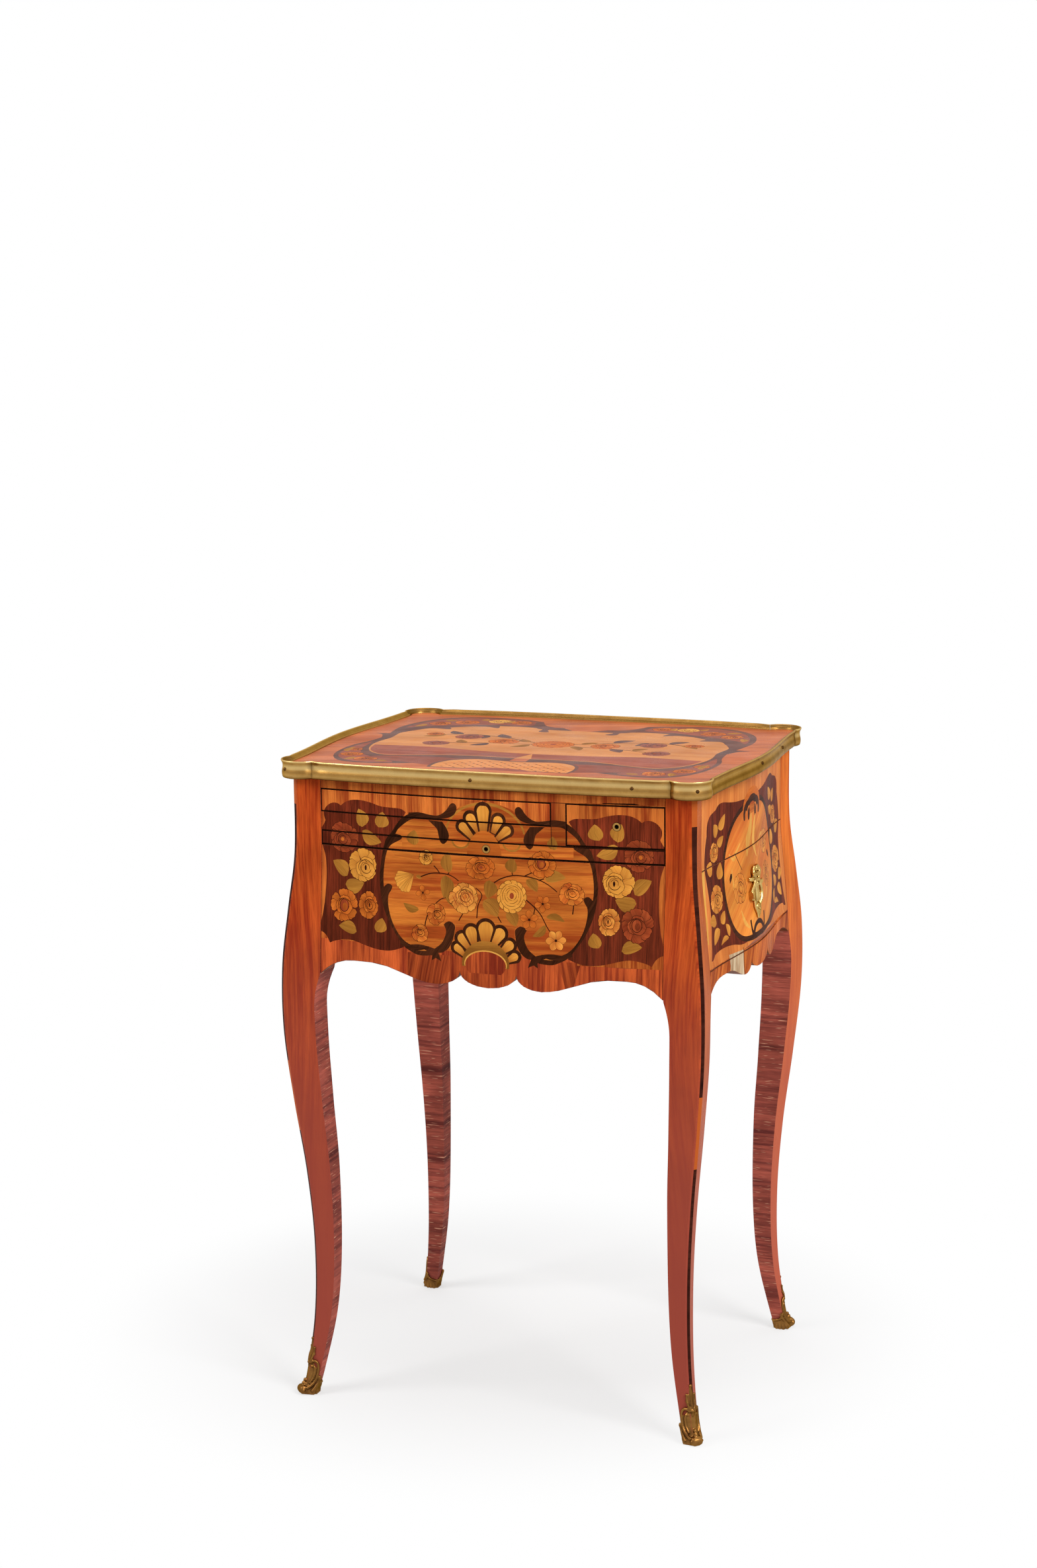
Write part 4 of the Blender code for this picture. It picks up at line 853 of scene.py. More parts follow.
def draw_front(seed):
    """The picture of the front: reserves of flowers, a scrolled cartouche, two shells and a bouquet."""
    picture = Picture("tulipwood", 90.0, seed)
    both(picture, strip_mm(36, 190, 470, 512), "flame", 90.0, 1.1)
    # Darker pieces across the middle of the apron: partly their own wood, partly painted shade
    picture.lay(strip_mm(-38, 36, 470, 514), "flame", 90.0, 0.86)
    picture.lay(strip_mm(-86, -38, 466, 506), "flame", 80.0, 0.84)
    picture.lay([Vector(p) for p in ((80, 508), (92, 466), (104, 508))], "flame", 100.0, 0.84)
    picture.lay(strip_mm(100, 192, 505, 672), "tulipwood", 90.0, 0.92)
    for points, level in ((RESERVE, 1.25), (mirror(RESERVE), 1.0)):
        picture.lay(inset(points, -RESERVE_LINE), "ink")
        picture.lay(points, "amaranth", 90.0, level, (((0, 640), 0.0), ((0, 500), 0.4)))
    both(picture, BAND, "wenge", 60.0)
    ruddy = (((-30, 570), 0.0), ((100, 570), 0.22))
    picture.lay(CARTOUCHE, "satine", 2.0, 0.97, ruddy)
    picture.lay(strip_mm(-94, 94, 611, 627), "satine", 2.0, 1.06, ruddy)
    picture.lay(outline([(-107, 611), (107, 611)], [(107, 611), (109, 604), (60, 602), (0, 605),
            (-60, 603), (-109, 606)]), "satine", 2.0, 0.84, ruddy)
    picture.lay(ellipse(-1, 632, 44, 35.5, 8, 172, 30) + ellipse(-1, 632, 42.2, 32.6, 172, 8, 30),
        "olive", 0.0, 1.05)
    both(picture, HORN, "wenge", 20.0)
    both(picture, VOLUTE, "wenge", 90.0)
    both(picture, outline([(64, 509), (72, 511.6), (84, 512.4)], [(84, 512.4), (76, 509.2), (64, 509)]),
        "satine", 0.0)
    both(picture, ribbon([(62, 513), (72, 510.6), (84, 511.6), (94, 516)], (2.2, 3.2, 4.6)), "wenge", 10.0)
    draw_shells(picture)
    draw_bouquet(picture)
    for side in (-1, 1):
        draw_reserve(picture, side)
    return picture


def draw_shells(picture):
    """Shells at the head and at the foot of the cartouche."""
    for base, tip, width in (((-14, 629), (-30, 646), 13), ((12, 630), (28, 644), 13),
            ((-8, 636), (-20.5, 656.5), 14), ((8, 636), (16.5, 656), 14), ((-2.6, 634), (-3, 667), 17)):
        picture.shell_petal(base, tip, width)
    picture.lay(outline([(-8, 664), (-3, 664)], [(-3, 664), (2, 664)], [(-1.8, 666), (-3, 669.6)],
            [(-3, 669.6), (-4.2, 666)]), "wenge")
    picture.lay(ellipse(-2, 611, 19, 27, 0, 180, 20), "orange", 0.0, 1.0,
        (((-2, 632), 0.0), ((-2, 612), 0.5)))
    for cx in (-28, 28):
        picture.lay(ellipse(cx, 626, 10, 8.4, 180, 360, 12), "olive", 0.0)
        picture.lay(ellipse(cx, 626, 8.2, 6.4, 180, 360, 12), "satine", 0.0, 1.06)
    for base, tip, width in (((-22, 508), (-34.5, 519.5), 12), ((25, 505), (38.5, 513), 12),
            ((-17, 515), (-29.4, 531), 14), ((19, 514), (32.6, 526), 14), ((-11, 519), (-17.4, 540), 16),
            ((9, 520), (20.6, 539.6), 16), ((1, 521), (1, 546.5), 20)):
        picture.shell_petal(base, tip, width)
    picture.lay(ellipse(1.5, 500, 26, 24, -8, 188, 28), "olive", 0.0, 1.0,
        (((1, 523), 0.0), ((1, 512), 0.7)))
    picture.lay(ellipse(1.5, 500, 23.4, 14.4, -12, 192, 28), "pale", 0.0)
    picture.lay(ellipse(1.5, 499, 22.4, 14.0, -40, 220, 28), "flame", 90.0, 0.95)


def draw_bouquet(picture):
    """Twigs, leaves and flowers in the middle of the front."""
    for knots in ([(-74, 585), (-62, 589.6), (-50, 590.6), (-39, 589), (-30, 584)],
            [(-58, 598), (-54, 594), (-51, 590)], [(-42, 597), (-41, 592), (-43, 589.6)], [(-67, 533),
                (-66, 540), (-62.6, 550), (-56, 558), (-49, 564), (-39, 567)], [(-62, 556), (-57, 556.6)],
            [(-60, 541), (-60.6, 549)], [(-9, 547), (-8, 560), (-4, 571), (-11, 578)],
            [(6.8, 583), (16, 589), (28, 593), (40, 593.4), (55, 591), (67, 586), (77, 579)],
            [(28, 598), (29, 593.6)], [(42, 593.4), (53, 599)], [(57, 590), (63, 591.6)],
            [(43, 570), (52, 563), (60, 555), (67, 543), (72, 536)], [(52, 551), (54, 562)],
            [(53, 563), (61, 565)], [(-29, 543), (-24, 551.6)], [(13, 551.6), (18, 544)],
            [(94, 557), (94.6, 568), (90, 573)], [(94.6, 568), (99, 574)]):
        picture.twig(knots)
    picture.leaves((((-45, 589), (-46, 565), 15), ((-41, 592), (-42, 614), 13),
            ((-80, 618), (-80, 634), 14), ((29, 596), (29, 612), 13), ((44, 590), (56, 578), 11)),
        "olive", 0.12)
    picture.leaf((64, 591), (86, 594), 12)
    picture.leaves((((4, 587), (2, 568), 15), ((-2, 566), (14, 550), 17), ((24, 556), (34, 541), 13),
            ((-44, 568), (-28, 554), 12), ((66, 553), (86, 549), 7), ((66, 544), (52, 532), 8),
            ((74, 622), (72, 636), 11), ((-74, 551), (-92, 557), 8), ((-78, 586), (-72, 583), 4)),
        "olive", 0.12)
    picture.rose((-7, 599), (16.5, 13), "orange", 7, (0.1, 0.05, 0.5), "red", 0.4, 0.6)
    picture.rose((61, 607), (15, 14), "orange", 8, (-0.1, 0.0, 0.5), "cup", 0.6, 0.5)
    picture.rose((93, 577), (14, 12), "satine", 7, (0.0, 0.1, 0.5), "orange", 0.2, 0.35)
    picture.rose((-24, 566.5), (16, 16), "gold", 8, (0.1, 0.1, 0.55), "orange", 0.0, 0.4)
    for k in range(7):
        middle = Vector((-24 + (k - 3) * 3.2, 566.5 + (k - 3) * 1.1))
        half = Vector((-5.0, 9.0)) * (1 - abs(k - 3) * 0.14)
        picture.lay(ribbon([middle - half, middle, middle + half], (0.3, 0.8, 0.3), 3), "red", 120.0, 1.1)
    picture.rose((-54, 548), (11, 11), "satine", 6, (0.1, 0.0, 0.45), "orange", 0.4, 0.35)
    picture.rose((-72, 527), (10, 9), "satine", 5, (0.0, 0.1, 0.45), "orange", 0.1, 0.35)
    picture.rose((-67, 606), (7.5, 8), "yellow", 5, (0.05, 0.0, 0.42), "slit", 0.0, 0.5)
    picture.ranunculus((28.5, 571.5), (16.5, 17.5), "yellow")
    picture.fan((-81, 587), 214.0, 23.0, "yellow", 9, 74.0)
    picture.blossom((77, 529.3), 11.0, "gold", 6, 0.1)
    picture.blossom((62, 566), 9, "orange", 5, 0.9)
    picture.blossom((48, 549), 10, "orange", 5, 0.4)
    picture.blossom((-70, 569), 8, "orange", 4, 0.2)


def draw_reserve(picture, side):
    """Leaves and four roses on the dark ground at one end of the front; side is -1 at the left."""
    def at(*p):
        return (p[0] * side, p[1])

    picture.leaves((((140, 633), (144, 652), 15), ((121, 634), (116, 650.6), 16),
            ((140, 629), (118, 618), 14), ((158, 580), (175, 595), 15), ((160, 571), (138, 574), 16),
            ((146, 522), (167, 527), 13), ((122, 524), (116, 539), 14)), "leaf", 0.12 * side, side)
    picture.rose(at(162, 620), (17, 17), "red", 7, (0.1 * side, -0.1, 0.52), "orange", 0.3, 0.45)
    picture.rose(at(140, 593), (17.5, 17.5), "yellow", 8, (-0.2 * side, -0.16, 0.56), "slit", 0.1, 0.4)
    big = "orange" if side < 0 else "red"
    picture.rose(at(161, 549.5), (17, 18), big, 8, (0.0, -0.04, 0.5), "cup", 0.2, 0.55)
    picture.rose(at(133, 551.5), (12, 15), "orange" if side < 0 else "gold", 7, (-0.15 * side, 0.0, 0.5),
        "slit", 0.5, 0.6)


FRONT = draw_front(11)


def node_region(node, across):
    """The rectangle that a node fills: across is 0 for x and 1 for y."""
    low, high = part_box(node)
    return strip_mm(low[across] / MM, high[across] / MM, low[2] / MM, high[2] / MM)


KEY_RING = 4.6
SIDE_KEY_Z = 550.7
INK_KEY = (139, 649)
SLIDE_KEY = (0, 618.9)
# Drawers get a brighter painted highlight along their edges
DRAWER_EDGE = {"edge_highlight_and_wear": 1.5, "gap": DRAWER_GAP}
# level sets how light each veneer is; the top rail is darker as painted shadow of the overhanging rim
for node, body, level, holes in (("paper_drawer_front", "paper_drawer", 1.12, ()),
        ("ink_drawer_front", "ink_drawer", 0.96, (ellipse(*INK_KEY, KEY_RING, KEY_RING),)),
        ("writing_slide_front", "writing_slide", 1.0, (ellipse(*SLIDE_KEY, KEY_RING, KEY_RING),)),
        ("middle_rail", "case", 1.0, ()), ("top_rail", "case", 0.86, ()),
        ("drawer_divider", "case", 0.78, ())):
    edge = {} if body == "case" else DRAWER_EDGE
    skin(node.replace("_front", "") + "_veneer", body, node_region(node, 0), FRONT, on_side("front"),
        holes, level=level, **edge)

# Aprons
APRON = 491.2
CUSP = 31.0
CUSP_DROP = 0.8
LOBE_DROP = 16.2
LOBE_LEAN = 0.28
LOBE_SHIFT = 4.2
EAR_LENGTH = 39.0
EAR_FLAT = 20.0
SIDE_APRON = 484.6
SIDE_LOBE_DROP = 12.8
APRON_END = 0.3              # the veneer of an apron stops this far short of the leg
APRON_STEPS = 8
EAR_CURVE = 2.2


def apron_edge(half, shift=0.0, high=APRON, drop=LOBE_DROP):
    """Lower edge of an apron from its left end to its right end, in millimetres."""
    ear = half - EAR_LENGTH
    lobe_end = ear - EAR_FLAT
    lobe_low = CUSP + (lobe_end - CUSP) * LOBE_LEAN
    right = []
    for k in range(APRON_STEPS):
        a = math.pi / 2 * k / APRON_STEPS
        right.append((CUSP * math.sin(a), high - CUSP_DROP - (drop - CUSP_DROP) * math.cos(a)))
    for k in range(APRON_STEPS):
        a = math.pi / 2 * k / APRON_STEPS
        right.append((lobe_low - (lobe_low - CUSP) * math.cos(a),
                high - CUSP_DROP - (drop - CUSP_DROP) * math.sin(a)))
    for k in range(APRON_STEPS):
        t = k / APRON_STEPS
        right.append((lobe_low + (lobe_end - lobe_low) * t, high - drop * (1 - t * t * (3 - 2 * t))))
    right.append((lobe_end, high))
    for k in range(APRON_STEPS + 1):
        t = k / APRON_STEPS
        right.append((ear + EAR_LENGTH * t, high - (high - EAR_TOP / MM) * t ** EAR_CURVE))
    edge = [(-u, z) for u, z in reversed(right[1:])] + right
    edge = [(u + shift * (1 - (u / half) ** 2), z) for u, z in edge]
    return [Vector((min(max(u, -half + APRON_END), half - APRON_END), z)) for u, z in edge]


def panel_region(half, top, *apron):
    """A panel with an apron below, up to a height."""
    edge = apron_edge(half, *apron)
    return edge + [Vector((edge[-1].x, top)), Vector((edge[0].x, top))]


FRONT_PANEL_TOP = 610.5
FRONT_HALF = POST_X / MM
SIDE_HALF = POST_Y / MM
SIDE_SHAPE = (0.0, SIDE_APRON, SIDE_LOBE_DROP)
skin("front_panel_veneer", "case", panel_region(FRONT_HALF, FRONT_PANEL_TOP, LOBE_SHIFT),
    FRONT, on_side("front"))
skin("back_panel_veneer", "case", panel_region(FRONT_HALF, CASE_TOP / MM), draw_front(12),
    on_side("back", PANEL_PROUD))


# Side picture
SIDE_RESERVE = outline([(22, 654.5), (50, 656), (70, 658.5), (88, 661.5), (100, 661), (108, 657)],
    [(108, 657), (116, 655.4), (125, 653), (132, 647), (134, 640), (134, 634)],
    [(134, 634), (139, 622), (142, 606), (141, 598), (137, 585), (134.4, 570), (133.4, 555), (134.4, 540),
        (137.6, 524), (143, 506)], [(143, 506), (137, 506.4), (131, 510.4)], [(131, 510.4), (118, 511.8),
        (104, 512), (90, 511.2), (74, 509), (58, 505.6), (40, 504.6)], [(20, 520), (20, 640)])
SIDE_OVAL = outline([(0, 645), (16, 645), (33, 643), (51, 637), (67, 625.6), (79, 609), (86, 590),
        (88, 570), (85, 551), (77, 534), (64, 520.4), (46, 512), (20, 509), (0, 509)])
SIDE_OVAL = SIDE_OVAL + mirror(SIDE_OVAL)[1:-1]
OVAL_MIDDLE = Vector((0, 578))
OVAL_BAND = 6                # width of the dark band round the oval


def draw_side(seed):
    """The picture of a side: an oval of branches between two dark reserves of leaves."""
    # Its ground is the lighter copy of tulipwood: painted light
    picture = Picture("side_border", 90.0, seed)
    picture.lay(strip_mm(-175, 175, 465, 499), "tulipwood", 60.0, 1.05)
    both(picture, SIDE_RESERVE, "amaranth", 90.0)
    picture.lay([p + (p - OVAL_MIDDLE).normalized() * OVAL_BAND for p in SIDE_OVAL], "wenge", 0.0)
    picture.lay(SIDE_OVAL, "burl", 30.0, 1.0, (((-40, 570), 0.0), ((90, 570), 0.3)))
    picture.lay(outline([(-152, 600), (-143, 600), (-145, 560), (-147, 525)], [(-147, 525), (-157, 525)]),
        "pale", 90.0)
    picture.lay(ellipse(0, 642, 32, 22, 0, 180, 20) + ellipse(0, 642, 24, 13, 180, 0, 16), "orange", 0.0)
    picture.lay(ellipse(0, 640, 23, 16, 8, 172, 16) + ellipse(0, 638, 18, 11, 172, 8, 16), "wenge", 0.0)
    picture.lay(ellipse(0, 633, 17, 15, 10, 170, 16), "satine", 0.0, 1.04)
    both(picture, outline([(16, 652), (22, 650), (28, 645), (30, 637), (28, 631.6), (24.4, 632.4),
            (24, 638), (20, 643), (12, 648)]), "wenge")
    both(picture, outline([(10, 644), (14, 641.4), (15.6, 635), (13.6, 630), (10, 631), (8.6, 637)]),
        "wenge")
    both(picture, ribbon([(25, 525), (24, 518), (21, 511), (10, 504)], (4.4, 4.0, 5.0, 2.4)), "wenge", 80.0)
    picture.lay(ellipse(0, 508, 20, 13.4, 6, 174, 18) + ellipse(0, 508, 14, 8.2, 174, 6, 16), "wenge")
    picture.lay(ribbon([(-24, 508.6), (0, 507), (24, 508.6)], (3.6, 3.0, 3.6)), "wenge")
    both(picture, outline([(74, 578), (70, 583), (66, 581), (68, 577), (75, 572)]), "wenge")
    for knots, width in (([(-72, 604), (-60, 596), (-52, 602), (-40, 610)], 5.0), ([(-66, 588),
                (-64, 566), (-56, 552), (-44, 556)], 5.0), ([(-50, 540), (-42, 526), (-30, 518)], 6.0),
            ([(40, 536), (52, 552), (46, 572)], 5.0), ([(20, 596), (36, 606), (56, 602)], 4.0)):
        picture.lay(ribbon(knots, (1.0, width, 1.6)), "pale", 30.0, 0.96)
    for knots, width in (([(-20, 592), (-16, 608), (-6, 622), (-4, 636)], 14.0),
            ([(14, 586), (4, 604), (8, 622), (14, 632)], 9.0)):
        picture.lay(ribbon(knots, (1.0, width, width * 0.8, 2.0)), "pale", 80.0, 0.95)
    picture.twig([(-56, 602), (-50, 595), (-44, 588), (-38, 581)])
    picture.twig([(38, 600), (30, 588), (22, 580)], 0.8)
    picture.rose((-48, 563), (17, 17), "gold", 7, (0.1, 0.0, 0.5), "yellow", 0.0, 0.3)
    picture.rose((52, 596), (15, 14), "gold", 7, (0.1, 0.0, 0.5), "orange", 0.4, 0.35)
    picture.rose((54, 560), (15, 14), "gold", 7, (0.0, 0.0, 0.5), "orange", 0.1, 0.35)
    for side in (-1, 1):
        picture.leaves((((100, 636), (82, 648.5), 13), ((106, 628), (113, 642.5), 13),
                ((104, 621), (86, 626), 11), ((120, 592), (135, 603), 15), ((104, 584), (95, 600), 17),
                ((119, 541), (138, 545), 13), ((107, 539), (94, 549), 13), ((111, 533), (130, 520), 13),
                ((86, 521), (94, 535), 9), ((89, 520), (111, 516), 6)), "yellow", 0.12 * side, side)
        picture.rose((112 * side, 613), (12, 11), "gold", 7, (0.0, 0.1, 0.5), "slit", 0.2, 0.4)
        picture.rose((112 * side, 564.5), (18, 15), "gold", 7, (0.1, -0.1, 0.52), "slit", 0.0, 0.4)
    return picture


SIDE = draw_side(21)
# A patch of bare wood under the side drawer, with a dark line along its edge
SIDE.lay(outline([(-92, 502)], [(-90, 490), (-91, 478), (-84, 470)],
        [(-54, 470), (-55, 484), (-53.4, 502)]), "bare", 80.0, 1.0)
SIDE.lay(strip_mm(-53.8, -52.6, 470, 502), "ink")
KEYHOLE_RADIUS = 3.4
KEYHOLE_FOOT = (1.6, 541.6)      # half width and height of its lower end
KEYHOLE = ellipse(0, SIDE_KEY_Z, KEYHOLE_RADIUS, KEYHOLE_RADIUS, -25, 205, 14)
KEYHOLE += [Vector((KEYHOLE_FOOT[0] * side, KEYHOLE_FOOT[1])) for side in (-1, 1)]
skin("side_drawer_veneer", "side_drawer", node_region("side_drawer_front", 1), SIDE, on_side("right"),
    (KEYHOLE,), edge_highlight_and_wear=1.25)
skin("right_upper_rail_veneer", "case", node_region("right_upper_rail", 1), SIDE, on_side("right"))
skin("right_lower_rail_veneer", "case", panel_region(SIDE_HALF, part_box("right_lower_rail")[1][2] / MM,
        *SIDE_SHAPE), SIDE, on_side("right"))
skin("left_panel_veneer", "case", panel_region(SIDE_HALF, CASE_TOP / MM, *SIDE_SHAPE), draw_side(22),
    on_side("left", PANEL_PROUD))


# Top
def front_path(steps):
    """Outer line of the front length of the rim with its outward directions."""
    seam = LOBE_X - math.sqrt(LOBE_RADIUS ** 2 - (RIM_FRONT - LOBE_Y) ** 2)
    path = []
    for k in range(steps + 1):
        x = seam * math.sin(math.pi * (k / steps - 0.5))
        y = RIM_FRONT + RIM_FRONT_BOW * (1 - (x / seam) ** 4)
        slope = -4 * RIM_FRONT_BOW * x ** 3 / seam ** 4
        path.append((Vector((x, -y)), Vector((-slope, -1.0)).normalized()))
    return path


def lobe_path(steps):
    """Outer line of the front right lobe of the rim."""
    start = math.atan2(-(RIM_FRONT - LOBE_Y), -math.sqrt(LOBE_RADIUS ** 2 - (RIM_FRONT - LOBE_Y) ** 2))
    end = math.atan2(math.sqrt(LOBE_RADIUS ** 2 - (RIM_SIDE - LOBE_X) ** 2), RIM_SIDE - LOBE_X)
    path = []
    for k in range(steps + 1):
        turn = start + (end - start) * k / steps
        out = Vector((math.cos(turn), math.sin(turn)))
        path.append((Vector((LOBE_X, -LOBE_Y)) + out * LOBE_RADIUS, out))
    return path


def side_path(steps):
    """Outer line of the right length of the rim."""
    seam = LOBE_Y - math.sqrt(LOBE_RADIUS ** 2 - (RIM_SIDE - LOBE_X) ** 2)
    path = []
    for k in range(steps + 1):
        y = seam * (2 * k / steps - 1)
        wave = math.pi * y / (2 * seam)
        x = RIM_SIDE + RIM_SIDE_BOW * math.cos(wave) ** 2
        slope = -RIM_SIDE_BOW * math.sin(2 * wave) * math.pi / (2 * seam)
        path.append((Vector((x, y)), Vector((1.0, -slope)).normalized()))
    return path


def flip(path, sx, sy):
    """A path mirrored to another side, still running the same way round."""
    flipped = [(Vector((p.x * sx, p.y * sy)), Vector((n.x * sx, n.y * sy))) for p, n in path]
    return flipped if sx * sy > 0 else flipped[::-1]


RIM_STEPS = 40
RIM_PATHS = [("front", front_path(RIM_STEPS)), ("front_right", lobe_path(RIM_STEPS)),
    ("right", side_path(RIM_STEPS)), ("back_right", flip(lobe_path(RIM_STEPS), 1, -1)),
    ("back", flip(front_path(RIM_STEPS), -1, -1)), ("back_left", flip(lobe_path(RIM_STEPS), -1, -1)),
    ("left", flip(side_path(RIM_STEPS), -1, -1)), ("front_left", flip(lobe_path(RIM_STEPS), -1, 1))]


def mitre(a, b):
    """Direction of the joint between two outward directions, stretched so that offsets stay true."""
    joint = (a + b).normalized()
    return joint / joint.dot(a)


def mitred(index):
    """One rim path with its end directions turned to the joints with its neighbours."""
    path = list(RIM_PATHS[index][1])
    path[0] = (path[0][0], mitre(path[0][1], RIM_PATHS[index - 1][1][-1][1]))
    path[-1] = (path[-1][0], mitre(path[-1][1], RIM_PATHS[(index + 1) % len(RIM_PATHS)][1][0][1]))
    return path


TOP_FRAME = outline([(62, 160), (90, 171), (130, 175), (165, 165), (190, 140), (202, 110), (206, 80),
        (203, 52), (200, 36)], [(200, 36), (216, 34), (206, 28), (198, 8)],
    [(198, 8), (201, -20), (208, -46), (209, -75), (205, -105), (195, -130), (178, -148),
        (150, -152), (120, -146), (98, -139), (76, -142)], [(76, -142), (0, -150)], [(0, 100), (26, 125)],
    [(26, 125), (40, 128), (52, 138), (62, 160)])
TOP_FIELD = outline([(0, 110), (44, 110), (58, 118), (76, 121), (100, 119)],
    [(100, 119), (97, 104), (112, 110), (132, 106), (150, 93)],
    [(150, 93), (146, 82), (168, 84), (178, 70), (186, 54), (190, 40), (187, 10), (190, -18), (189, -40),
        (182, -66), (170, -86), (150, -98), (120, -92), (90, -82), (60, -78), (0, -80)])


def draw_top(seed):
    """The picture of the top: a scrolled frame with flowers, a light field and a trellis at the front."""
    picture = Picture("top_border", 20.0, seed)
    for side in (1, -1):
        picture.lay(sided(TOP_FRAME, side), "frame", 40.0)
        picture.lay(sided(outline([(70, 158), (92, 166), (130, 169), (160, 160), (182, 138), (195, 108),
                (198, 80), (186, 92), (172, 100), (150, 110), (120, 122), (100, 128), (76, 128),
                (64, 138)]), side), "rosewood", 0.0, 0.9)
        picture.lay(sided(outline([(196, -22), (203, -48), (204, -76), (200, -104), (190, -127),
                (172, -142), (150, -146), (124, -140), (140, -124), (166, -108), (182, -88), (192, -60)]),
                side), "rosewood", 0.0, 0.9)
    for side in (-1, 1):
        picture.lay(sided(outline([(70, -150), (74, -118), (60, -98)], [(60, -98), (104, -96),
                (146, -104), (166, -116)], [(166, -116), (140, -128), (110, -136), (70, -150)]), side),
            "rosewood", 0.0, 0.82)
    picture.lay(mirror(TOP_FIELD)[:-1] + TOP_FIELD[1:], "field", 0.0)
    for side in (-1, 1):
        picture.lay(sided(outline([(0, -50), (60, -46), (120, -36), (186, -40)], [(186, -40),
                (180, -66), (168, -85), (150, -96), (120, -90), (90, -80), (60, -76), (0, -78)]), -side),
            "rosewood", 0.0)
        picture.lay(sided(outline([(24, 126), (34, 119), (38, 106), (33, 95), (40, 92), (46, 97),
                (46, 110), (56, 118), (60, 130)]), side), "frame", 60.0)
        for cx, cy, size, name in ((84, 148, 13, "orange"), (112, 150, 14, "pale"),
                (146, 134, 15, "orange"), (172, 118, 13, "satine"), (186, -104, 13, "orange"),
                (160, -128, 13, "satine"), (195, -74, 9, "orange")):
            picture.rose((cx * side, cy), (size, size * 0.9), name, 7, (0.1, 0.0, 0.5),
                "slit", cy * 0.1, 0.5)
        picture.leaves((((98, 142), (96, 160), 8), ((128, 150), (132, 164), 9),
                ((160, 140), (176, 146), 9), ((186, 110), (192, 90), 9), ((176, -120), (180, -138), 9),
                ((198, -90), (200, -60), 8), ((146, -136), (132, -134), 9)), "leaf", 0.1, side)
    lobe = outline([(-76, -153), (-77, -132), (-70, -112), (-55, -100), (-38, -96), (-18, -99), (0, -101),
            (18, -99), (38, -95), (54, -98), (68, -110), (74, -130), (73, -153)])
    picture.lay(inset(lobe[::-1], -1.6), "frame")
    picture.lay(lobe, "field", 0.0, 1.04)
    draw_trellis(picture)
    picture.lay(ellipse(-2, -156, 36, 15, 0, 180, 16), "rosewood", 0.0)
    draw_garland(picture)
    return picture


TRELLIS_STEP = 13.0          # between two lines
TRELLIS_FOOT = -152.0
TRELLIS_HIGH = 60.0
TRELLIS_LINE = 0.8
TRELLIS_DOT = 1.3
TRELLIS_REACH = (72, 51)     # half width and height of what the lines fill
DOTS_REACH = (68, 48)        # and of what the dots fill
DOTS_LIFT = 4.0              # height of the lowest row of dots


def draw_trellis(picture):
    """Crossed lines with dots in the lobe at the front of the top."""
    def inside(x, y, wide, high):
        return (abs(x) / wide) ** 3 + (abs(y - TRELLIS_FOOT) / high) ** 3 < 1

    for k in range(-9, 10):
        for slant in (-1, 1):
            start = Vector((k * TRELLIS_STEP - slant * TRELLIS_HIGH / 2, TRELLIS_FOOT))
            end = start + Vector((slant * TRELLIS_HIGH, TRELLIS_HIGH))
            line = [start + (end - start) * t / 30 for t in range(31)]
            line = [p for p in line if inside(p.x, p.y, *TRELLIS_REACH)]
            if len(line) > 2:
                picture.lay(ribbon([line[0], line[-1]], (TRELLIS_LINE, TRELLIS_LINE), 1), "orange")
    for row in range(8):
        for k in range(-6, 7):
            x, y = (k + row % 2 / 2) * TRELLIS_STEP, TRELLIS_FOOT + DOTS_LIFT + row * TRELLIS_STEP / 2
            if inside(x, y, *DOTS_REACH):
                picture.lay(ellipse(x, y, TRELLIS_DOT, TRELLIS_DOT, count=6), "ink")


def draw_garland(picture):
    """A loose garland of flowers across the light field."""
    for knots, width in (([(150, 40), (110, 56), (64, 44), (24, 22), (0, 14)], 2.0),
            ([(120, -8), (80, 4), (40, 8), (0, 14)], 1.8)):
        for side in (-1, 1):
            picture.twig([(x * side, y) for x, y in knots], width)
    for side in (-1, 1):
        for base, tip, width in (((60, 44), (78, 66), 14), ((96, 54), (88, 32), 13),
                ((120, 54), (138, 72), 13), ((136, 48), (158, 30), 12), ((70, 4), (86, -14), 13),
                ((96, 0), (108, 18), 12), ((30, 24), (44, 40), 12), ((24, 8), (40, -12), 12)):
            picture.leaves(((base, tip, width),), "frame" if width > 12 else "olive", 0.1, side)
        picture.rose((106 * side, 40), (16, 15), "rosewood", 8, (0.1, 0.0, 0.5), "orange")
        picture.rose((58 * side, 20), (17, 16), "orange", 9, (0.0, 0.1, 0.52), "slit", 0.3)
        picture.rose((126 * side, -10), (15, 14), "rosewood", 8, (0.0, 0.0, 0.5), "cup", 0.5)
        picture.rose((150 * side, 48), (11, 10), "orange", 6, (0.1, 0.0, 0.5), "slit", 0.2)
    picture.ranunculus((0, 16), (24, 22), "orange")


TOP_GAP = 0.0004             # between the veneer of the top and the rim
TOP_EDGE = []
for number in range(len(RIM_PATHS)):
    TOP_EDGE += [(p - n * (RIM_DEPTH + RIM_COVER + TOP_GAP)) / MM for p, n in mitred(number)[:-1:4]]


def on_top(x, y, lift):
    """Lays a flat picture on the top."""
    return (x, y, TOP_SURFACE + lift)


skin("top_veneer", "case", TOP_EDGE, draw_top(31), on_top, step=14.0)


# Legs
def inner_edge(z, half):
    """Inner edge of a leg: slender below, widening into the apron, then straight as a post of the case."""
    slender = half + swell(z) - width_at(z / CASE_TOP)
    post = half - STILE_WIDTH
    t = min(max((z - EAR_TOP + EAR_RISE) / EAR_RISE, 0.0), 1.0)
    return slender + (post - slender) * t * t


CORNERS = {"front_left": (-1, -1), "front_right": (1, -1), "back_left": (-1, 1), "back_right": (1, 1)}
LEG_RINGS = 120
LEG_LOW = 0.003


